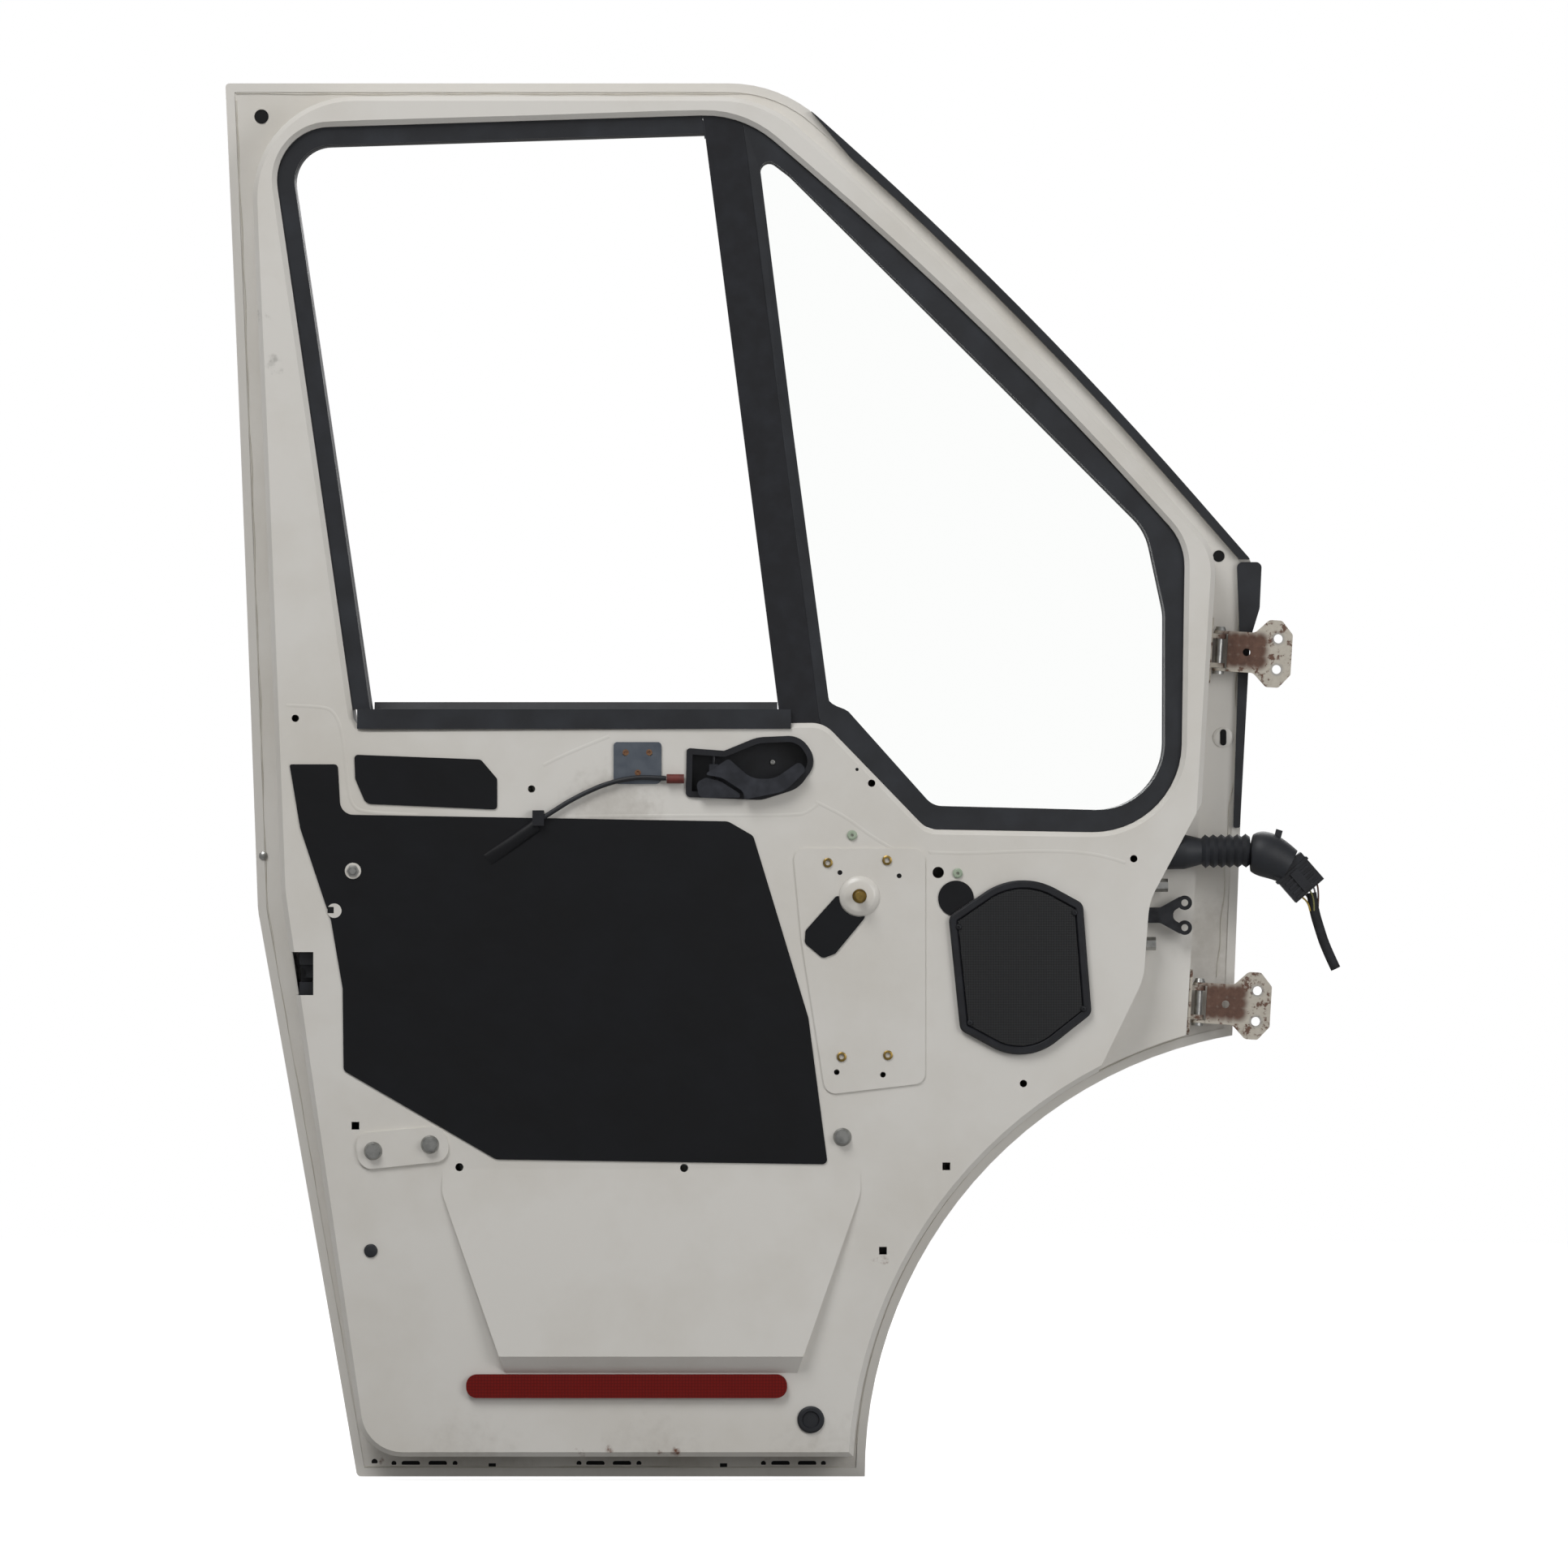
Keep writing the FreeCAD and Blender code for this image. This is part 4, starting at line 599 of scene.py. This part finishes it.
def put_strand(name, routes, radius_mm, material, body="door"):
    """Round strands of one thickness along smooth routes through the given points."""
    curve = bpy.data.curves.new(name, "CURVE")
    curve.dimensions = "3D"
    curve.bevel_depth = radius_mm * MM
    curve.bevel_resolution = 2
    curve.use_fill_caps = True
    for route in routes:
        spline = curve.splines.new("NURBS")
        spline.points.add(len(route) - 1)
        for point, place in zip(spline.points, route):
            point.co = (*place, 1.0)
        spline.order_u = min(3, len(route))
        spline.use_endpoint_u = True
    made = bpy.data.objects.new(name, curve)
    curve.materials.append(material)
    bpy.context.collection.objects.link(made)
    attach(made, body)
    print(name, len(routes), "strands")
    return made


def stadium(x, z, length, height, steps=8):
    """Outline of a slot with round ends."""
    reach = (length - height) / 2
    ends = []
    for side in (1, -1):
        for i in range(steps + 1):
            turn = math.radians(-90 + 180 * i / steps)
            ends.append((x + side * (reach + height / 2 * math.cos(turn)),
                         z + side * height / 2 * math.sin(turn)))
    return ends


def disc(radius, low, high):
    """Turning profile of a plain disc between two heights."""
    return [(0, low), (radius, low), (radius, high), (0, high)]


def square(x, z, side):
    """Outline of a square hole."""
    h = side / 2
    return [(x - h, z - h), (x + h, z - h), (x + h, z + h), (x - h, z + h)]


print("makers ready")

# %% [markdown]
# Drain slots in the bottom flange let out water and paint, and small jig holes are punched in the other
# edges and the face. The sheet is thin and the inside of the door lies in shade, so each hole shows as a
# black shape. They are small and many, so each is a thin inlay of painted shade, black, on the metal and
# not cut in the solid. The two discs at the edges sit just behind the face in holes of the solid, and are
# painted shade as well.

# %% Holes in the flange and the face
HOLE_PROUD = 0.15
HOLE_SUNK = 0.6
DRAIN_Z = 13.5
DRAIN_HOLE_R = 2.6
DRAIN_SLOT_L = 19.3
DRAIN_SLOT_H = 5.0
DRAIN_HOLES = (172.2, 236.0, 365.1, 427.6, 557.4, 619.9)
DRAIN_SLOTS = (189.8, 217.9, 382.2, 409.9, 575.2, 602.9)
JIG_HOLE_X = 152.0
JIG_HOLE_Z = 15.0
JIG_HOLE_R = 3.2
SQUARE_HOLES = (274.7, 515.8)
SQUARE_HOLE_Z = 9.8
SQUARE_HOLE_SIDE = 7.5
EDGE_HOLE_SHADE = ((37.0, 1413.7, 7.2), (1032.4, 959.3, 6.0))
EDGE_SHADE_SUNK = 0.9
EDGE_SHADE_TOP = 0.2
OVAL_SLOT_X = 1037.5
OVAL_SLOT_Z = 770.3
OVAL_SLOT_L = 17.0
OVAL_SLOT_W = 6.5
OVAL_SLOT_FRONT = 3.3
OVAL_SLOT_BACK = 2.0
FACE_HOLES = [(654.4, 736.7, 1.7, 0), (636.7, 630.0, 2.5, 1.8), (698.0, 626.6, 2.5, 1.8)]

# Painted shade: every piece gathered here is black for the shaded inside of a hole or slot.
holes = bmesh.new()
drain_y = flange_y(DRAIN_Z)
for x in DRAIN_HOLES:
    add_turned(holes, disc(DRAIN_HOLE_R, -HOLE_SUNK, HOLE_PROUD), at(x, DRAIN_Z, drain_y))
for x in DRAIN_SLOTS:
    outline = stadium(x, DRAIN_Z, DRAIN_SLOT_L, DRAIN_SLOT_H)
    add_slab(holes, outline, drain_y - HOLE_PROUD, drain_y + HOLE_SUNK)
add_turned(holes, disc(JIG_HOLE_R, -HOLE_SUNK, HOLE_PROUD), at(JIG_HOLE_X, JIG_HOLE_Z, flange_y(JIG_HOLE_Z)))
square_y = flange_y(SQUARE_HOLE_Z)
for x in SQUARE_HOLES:
    add_slab(holes, square(x, SQUARE_HOLE_Z, SQUARE_HOLE_SIDE), square_y - HOLE_PROUD, square_y + HOLE_SUNK)
# Painted shade: black discs just behind the flange's face, inside two holes, where the lit skin would show.
for x, z, radius in EDGE_HOLE_SHADE:
    add_turned(holes, disc(radius, -EDGE_SHADE_SUNK, -EDGE_SHADE_TOP), at(x, z, flange_y(z)), steps=28)
# Painted shade: a black slot on the pale plug for the shaded opening in it.
oval_y = flange_y(OVAL_SLOT_Z)
upright = [(x, z) for z, x in stadium(OVAL_SLOT_Z, OVAL_SLOT_X, OVAL_SLOT_L, OVAL_SLOT_W)]
add_slab(holes, upright, oval_y - OVAL_SLOT_FRONT, oval_y - OVAL_SLOT_BACK)
for x, z, radius, lift in FACE_HOLES:
    add_turned(holes, disc(radius, -HOLE_SUNK, HOLE_PROUD), at(x, z, FACE_Y - lift))
put("hole_shade_inlays", holes, HOLE_SHADE_BLACK)

# %% [markdown]
# The fixed front pane sits in a rubber frame. In the photograph the frame's rear leg is slimmer towards the
# top, and its lower slant fuller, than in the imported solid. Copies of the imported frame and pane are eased
# to the photograph, both by the same rule, so the glass stays seated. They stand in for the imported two.

# %% Quarter window, eased
REAR_EDGE_TOP = Vector((570.0, 1358.0))
REAR_EDGE_FOOT = Vector((626.0, 803.0))
SLANT_FOOT = Vector((733.0, 699.0))
REAR_PULL = 18.0
REAR_REACH = 220.0
TOP_RISE_FROM = 1200.0
SLANT_PUSH = 14.0
SLANT_REACH = 30.0
SLANT_FADE = (820.0, 860.0)
REAR_EDGE_KEPT = 0.5
REAR_EDGE_FREE = 5.0
FRONT_LIP_DEPTH = 34.0
FRAME_RADIUS = 7000.0
BELT_Z = 785.0
RUBBER_SETBACK = 9.0
EDGE_SLACK = 1.0
WELD = 0.01
FLAT_DEGREES = 1.5
POST_LEAN = math.radians(7.3)
BEAD_RADIUS = 0.9
BEAD_SUNK = 0.5
LONG_BEAD = (616.2, 790, 1401, 12)
SHORT_BEAD = (574.9, 1388, 1407, 2)


def share(value, low, high):
    """How far a value lies between two others, held from 0 to 1."""
    return min(1.0, max(0.0, (value - low) / (high - low)))


def front_y(z):
    """Depth of the window rubbers' inner face, which curves inwards above the belt."""
    return math.sqrt(FRAME_RADIUS ** 2 - (z - BELT_Z) ** 2) - FRAME_RADIUS + FACE_Y + RUBBER_SETBACK


def eased(x, z):
    """Move of a point on the inside of the rubber frame, across and up."""
    down = share(z, REAR_EDGE_FOOT.y, REAR_EDGE_TOP.y)
    edge_x = REAR_EDGE_FOOT.x + (REAR_EDGE_TOP.x - REAR_EDGE_FOOT.x) * down
    pull = REAR_PULL * down * (1 - share(x, edge_x, edge_x + REAR_REACH))
    rise = pull * share(z, TOP_RISE_FROM, REAR_EDGE_TOP.y)
    along = share(z, SLANT_FOOT.y, REAR_EDGE_FOOT.y)
    slant_x = SLANT_FOOT.x + (REAR_EDGE_FOOT.x - SLANT_FOOT.x) * along
    clear = share(x, edge_x + REAR_EDGE_KEPT, edge_x + REAR_EDGE_FREE)
    push = 0.0
    if x < slant_x + SLANT_REACH:
        push = SLANT_PUSH * along * clear * (1 - share(z, *SLANT_FADE))
    return push - pull, rise


def drawn(point):
    """Drawing place, across and up, of a point in the frame."""
    return Vector((point.x / MM + DRAWING_ORIGIN.x, point.z / MM + DRAWING_ORIGIN.z))


pane = nodes["quarter_glass"]
pane_points = [drawn(pane.matrix_world @ vertex.co) for vertex in pane.data.vertices]
pane_outline = [pane_points[i] for i in geometry.convex_hull_2d(pane_points)]


def held_by_pane(place):
    """True for a point over the pane or within a millimetre of its edge."""
    for here, after in zip(pane_outline, pane_outline[1:] + pane_outline[:1]):
        side = after - here
        if side.length > 0 and side.cross(place - here) / side.length < -EDGE_SLACK:
            return False
    return True


EASED = (("quarter_glass_seal", RUBBER, "rubber"), ("quarter_glass", GLASS, "glass"))
for name, material, slot in EASED:
    shape = bmesh.new()
    shape.from_mesh(nodes[name].data)
    shape.transform(nodes[name].matrix_world)
    bmesh.ops.remove_doubles(shape, verts=shape.verts, dist=WELD * MM)
    if material == RUBBER:
        bmesh.ops.dissolve_limit(shape, angle_limit=math.radians(FLAT_DEGREES), verts=shape.verts,
                                 edges=shape.edges)
    for vertex in shape.verts:
        place = drawn(vertex.co)
        if held_by_pane(place):
            across, rise = eased(place.x, place.y)
            in_front = vertex.co.y / MM + DRAWING_ORIGIN.y < skin_y(place.y) - FRONT_LIP_DEPTH
            depth = front_y if in_front else skin_y
            lean = depth(place.y + rise) - depth(place.y)
            vertex.co += Vector((across, lean, rise)) * MM
    bmesh.ops.triangulate(shape, faces=shape.faces)
    made = put("eased_" + name, shape, material, sharp_degrees=25)
    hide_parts(name)


def post_seam(foot_x, low, high, steps):
    """Route up a joint beside the leaning post, from one height to another."""
    heights = [low + (high - low) * i / steps for i in range(steps + 1)]
    return [at(foot_x - (z - BELT_Z) * math.tan(POST_LEAN), z, front_y(z) + BEAD_SUNK) for z in heights]


put_strand("post_beads", [post_seam(*LONG_BEAD), post_seam(*SHORT_BEAD)], BEAD_RADIUS, RUBBER)

# %% [markdown]
# Where the skin is folded over the flange, a bead of seam sealer is run by hand along the raw edge and
# painted over. It wavers a little, which tells a real door from a drawn one. The bead lies on the hem, about
# ten millimetres in from the edge.

# %% Seam sealer
SEALER_LIFT = 0.4
SEALER_RADIUS = 0.7


def wavering(points, step_mm, sway_mm):
    """Points along straight runs that sway a little to both sides in a fixed rhythm."""
    route = []
    count = 0
    for (x0, z0), (x1, z1) in zip(points, points[1:]):
        length = math.hypot(x1 - x0, z1 - z0)
        parts = max(1, int(length / step_mm))
        for i in range(parts):
            t = i / parts
            sway = sway_mm * (math.sin(count * 1.7) + 0.6 * math.sin(count * 0.63 + 1.0))
            x = x0 + (x1 - x0) * t - (z1 - z0) / length * sway
            z = z0 + (z1 - z0) * t + (x1 - x0) / length * sway
            route.append(at(x, z, flange_y(z) - SEALER_LIFT))
            count += 1
    route.append(at(*points[-1], flange_y(points[-1][1]) - SEALER_LIFT))
    return route


ARCH_CENTRE = (1128.0, 1.0)
ARCH_BEAD_R = 474.5
arch_points = [(ARCH_CENTRE[0] + ARCH_BEAD_R * math.cos(math.radians(a)),
                ARCH_CENTRE[1] + ARCH_BEAD_R * math.sin(math.radians(a))) for a in range(176, 101, -5)]
SEALER = plain("seam sealer, painted over", "#d2cfc6", "#c3beb2", 20, 2.0, 0.08, Roughness=0.45)
put_strand("seam_sealer", [
    wavering([(140, 11), (38.5, 590), (11, 1430)], 22, 0.7),
    wavering([(11, 1437), (560, 1437)], 22, 0.5),
    wavering([(1055, 930), (1050, 760), (1031, 520)], 16, 1.4),
    wavering([(140, 9.5), (640, 9.5)], 26, 0.6),
    wavering(arch_points, 24, 0.4),
], SEALER_RADIUS, SEALER)

# %% [markdown]
# Press tools leave shallow ridges where one flat area steps to the next. They are less than a millimetre
# high, so they only show as a thin highlight with a soft shade below it. Each is the crown of a wide round
# strand that lies almost wholly under the paint.

# %% Pressed creases
CREASE_RADIUS = 8.0
CREASE_SHOWS = 0.8


def crease(points):
    """Route of a crease on the inner face."""
    return [at(x, z, FACE_Y + CREASE_RADIUS - CREASE_SHOWS) for x, z in points]


put_strand("pressed_creases", [
    crease([(729, 651), (760, 649), (840, 653), (905, 650), (932, 640)]),
    crease([(352, 687.5), (470, 689), (590, 689), (604, 692), (614, 701)]),
    crease([(330, 741), (350, 752), (398, 771)]),
    crease([(64, 803), (100, 802), (113, 797), (122, 776), (127, 720), (131, 700), (144, 691), (200, 689.5)]),
    crease([(612, 703), (640, 690), (668, 668), (690, 655)]),
], CREASE_RADIUS, ENAMEL)

# %% [markdown]
# Fixings. Screws hold the speaker grille and the handle's cup, rivets the bracket, a dome rivet sits on the
# rear flange and a bolt in the foil's hole. Each head is turned from one profile: a screw is a low dome with
# a sunk drive. The bracket's rivets have rusted.

# %% Screws and rivets
SCREW = [(0, -0.2), (3.2, -0.2), (3.2, 0.6), (2.4, 1.5), (1.2, 1.7), (1.0, 0.7), (0, 0.6)]
RIVET = [(0, -0.3), (4.6, -0.3), (4.4, 1.2), (3.0, 2.4), (0, 3.0)]
BOLT = [(0, 0), (6.5, 0), (6.5, 1.2), (4.5, 1.6), (4.5, 4.5), (3.8, 5.2), (0, 5.2)]
RUSTED_RIVET = [(0, -1.2), (3.4, -1.2), (3.2, 0.2), (1.6, 0.3), (1.2, -0.4), (0, -0.4)]
SEAT_GAP = 0.3
GRILLE_T = 7.0
BRACKET_T = 2.0
BEZEL_T = 2.0
CUP_DEPTH = 22.0
GRILLE_FRONT = FACE_Y - SEAT_GAP - GRILLE_T
BRACKET_FRONT = FACE_Y - SEAT_GAP - BRACKET_T
CUP_FLOOR = FACE_Y - SEAT_GAP - BEZEL_T + CUP_DEPTH
GRILLE_SCREWS = ((759.5, 573.6), (879.3, 588.7), (888.6, 489.0), (771.3, 474.8))
BRACKET_RIVETS = ((415.0, 754.3), (439.3, 754.3), (427.6, 733.3))
CUP_SCREW = (567.0, 744.2)
DOME_RIVET = (34.7, 646.8)
DOME_LIFT = 1.3
FOIL_BOLT = (132.7, 631.7)
BOLT_LIFT = 1.4

dark_screws = bmesh.new()
for x, z in GRILLE_SCREWS:
    add_turned(dark_screws, SCREW, at(x, z, GRILLE_FRONT))
put("grille_screws", dark_screws, DARK_STEEL)

bright = bmesh.new()
add_turned(bright, SCREW, at(*CUP_SCREW, CUP_FLOOR))
add_turned(bright, RIVET, at(*DOME_RIVET, flange_y(DOME_RIVET[1]) - DOME_LIFT))
add_turned(bright, BOLT, at(*FOIL_BOLT, FACE_Y - BOLT_LIFT), steps=6)
put("bright_fixings", bright, GALVANISED)

rusted = bmesh.new()
for x, z in BRACKET_RIVETS:
    add_turned(rusted, RUSTED_RIVET, at(x, z, BRACKET_FRONT))
RUST_BROWN = plain("rust, dry", "#6d4a34", "#8a6a4c", 2.5, 1.0, 0.08, Roughness=0.85)
put("bracket_rivets", rusted, RUST_BROWN)

# %% [markdown]
# The foil over the big openings was cut by hand. It has a hole with a bolt in it and a notch at its rear
# edge where the panel shows, and the cable runs on below it and lifts it in a long ridge.

# %% Foil details
FOIL_T = 1.0
FOIL_FRONT = FACE_Y - SEAT_GAP - FOIL_T
PATCH_PROUD = 0.2
BOLT_PATCH_R = 8.4
NOTCH_PATCH = (113.4, 590.5)
NOTCH_PATCH_R = 7.5
NOTCH_HOLE = (109.6, 591.2)
NOTCH_HOLE_SIDE = 6.5
RIDGE_HALF_WIDTH = 7.0
RIDGE_ACROSS = (-0.58, 0.81)
RIDGE_STEPS = 8
RIDGE_SUNK = 0.2
RIDGE = [(323.0, 679.0, 3.4), (311.0, 670.5, 3.8), (297.0, 660.5, 3.2),
         (283.0, 650.5, 2.0), (272.0, 643.0, 0.6)]

bare = bmesh.new()
add_turned(bare, disc(BOLT_PATCH_R, -FOIL_T, PATCH_PROUD), at(*FOIL_BOLT, FOIL_FRONT), steps=28)
add_turned(bare, disc(NOTCH_PATCH_R, -FOIL_T, PATCH_PROUD), at(*NOTCH_PATCH, FOIL_FRONT), steps=28)
put("bare_metal_in_foil", bare, ENAMEL)

# Painted shade: a black square stands for the shaded inside of a square hole in the bared panel.
notch_shade_slab = bmesh.new()
add_slab(notch_shade_slab, square(*NOTCH_HOLE, NOTCH_HOLE_SIDE), FOIL_FRONT - 0.4, FOIL_FRONT + 0.5)
put("notch_hole_shade", notch_shade_slab, HOLE_SHADE_BLACK)

ridge = bmesh.new()
rings = []
for x, z, height in RIDGE:
    ring = []
    for i in range(RIDGE_STEPS + 1):
        turn = math.pi * i / RIDGE_STEPS
        across = RIDGE_HALF_WIDTH * math.cos(turn)
        depth = FOIL_FRONT + RIDGE_SUNK - height * math.sin(turn)
        place = at(x + RIDGE_ACROSS[0] * across, z + RIDGE_ACROSS[1] * across, depth)
        ring.append(ridge.verts.new(place))
    rings.append(ring)
for lower, upper in zip(rings, rings[1:]):
    for i in range(RIDGE_STEPS):
        ridge.faces.new((lower[i], lower[i + 1], upper[i + 1], upper[i]))
for ring in (rings[0], rings[-1]):
    ridge.faces.new(ring)
bmesh.ops.recalc_face_normals(ridge, faces=ridge.faces)
put("foil_ridge", ridge, FOIL, sharp_degrees=60)

# %% [markdown]
# The loom's connector is a moulded block with ribs, a latch and a collar, and five thin wires, each of its
# own colour, run from it into the tape. The boot has a small pull tab on top.

# %% Connector, wires and tab
CONNECTOR_START = Vector((1100.0, 638.5))
CONNECTOR_END = Vector((1124.0, 611.0))
along = (CONNECTOR_END - CONNECTOR_START).normalized()
across = Vector((-along.y, along.x))
CONNECTOR_FRONT = TAIL_Y - 12.0
RIB_STARTS = (14.0, 20.0, 26.0, 32.0)
RIB_WIDTH = 2.4
RIB_HALF = 15
ROOT = 0.5
WIRE_RADIUS = 0.95
TAPE_MOUTH = (1128.4, 590.0)
TAPE_SQUEEZE = 0.38
TAB = ((1086, 662), (1092.5, 660), (1096, 673), (1089.5, 675))
TAB_HALF = 3.0


def on_connector(run, side):
    """Drawing place on the connector: run from its start, side from its middle line."""
    spot = CONNECTOR_START + along * run + across * side
    return spot.x, spot.y


def bar(start, end, half):
    """Outline of a bar across the connector, from one run to another."""
    return [on_connector(start, -half), on_connector(end, -half),
            on_connector(end, half), on_connector(start, half)]


ribs = bmesh.new()
for run in RIB_STARTS:
    add_slab(ribs, bar(run, run + RIB_WIDTH, RIB_HALF), CONNECTOR_FRONT - 1.4, CONNECTOR_FRONT + ROOT)
latch = bar(10, 34, 5)
add_slab(ribs, latch, CONNECTOR_FRONT - 2.6, CONNECTOR_FRONT + ROOT)
collar = bar(7, 10, 20.5)
add_slab(ribs, collar, CONNECTOR_FRONT - 1.2, TAIL_Y + 13.2)
put("connector_ribs", ribs, PLASTIC, sharp_degrees=30)

WIRES = (("#b99a3c", -11, -4), ("#d8d6cf", -6, 4), ("#7c7a45", 0, -5), ("#8b8d90", 6, 5), ("#5a3a2a", 11, 3))
length_along = (CONNECTOR_END - CONNECTOR_START).length
for number, (code, side, depth) in enumerate(WIRES):
    jacket = plain("wire jacket " + str(number), code, code, 5, 1.0, 0.02, Roughness=0.4)
    first = on_connector(length_along - 1.0, side)
    middle = on_connector(length_along + 7.0, side * 0.7)
    last = (TAPE_MOUTH[0] + side * TAPE_SQUEEZE, TAPE_MOUTH[1])
    route = [at(*first, TAIL_Y + depth), at(*middle, TAIL_Y + depth), at(*last, TAIL_Y + depth * 0.9)]
    put_strand("wire_" + str(number), [route], WIRE_RADIUS, jacket)

tab = bmesh.new()
add_slab(tab, TAB, TAIL_Y - TAB_HALF, TAIL_Y + TAB_HALF)
put("boot_tab", tab, RUBBER)
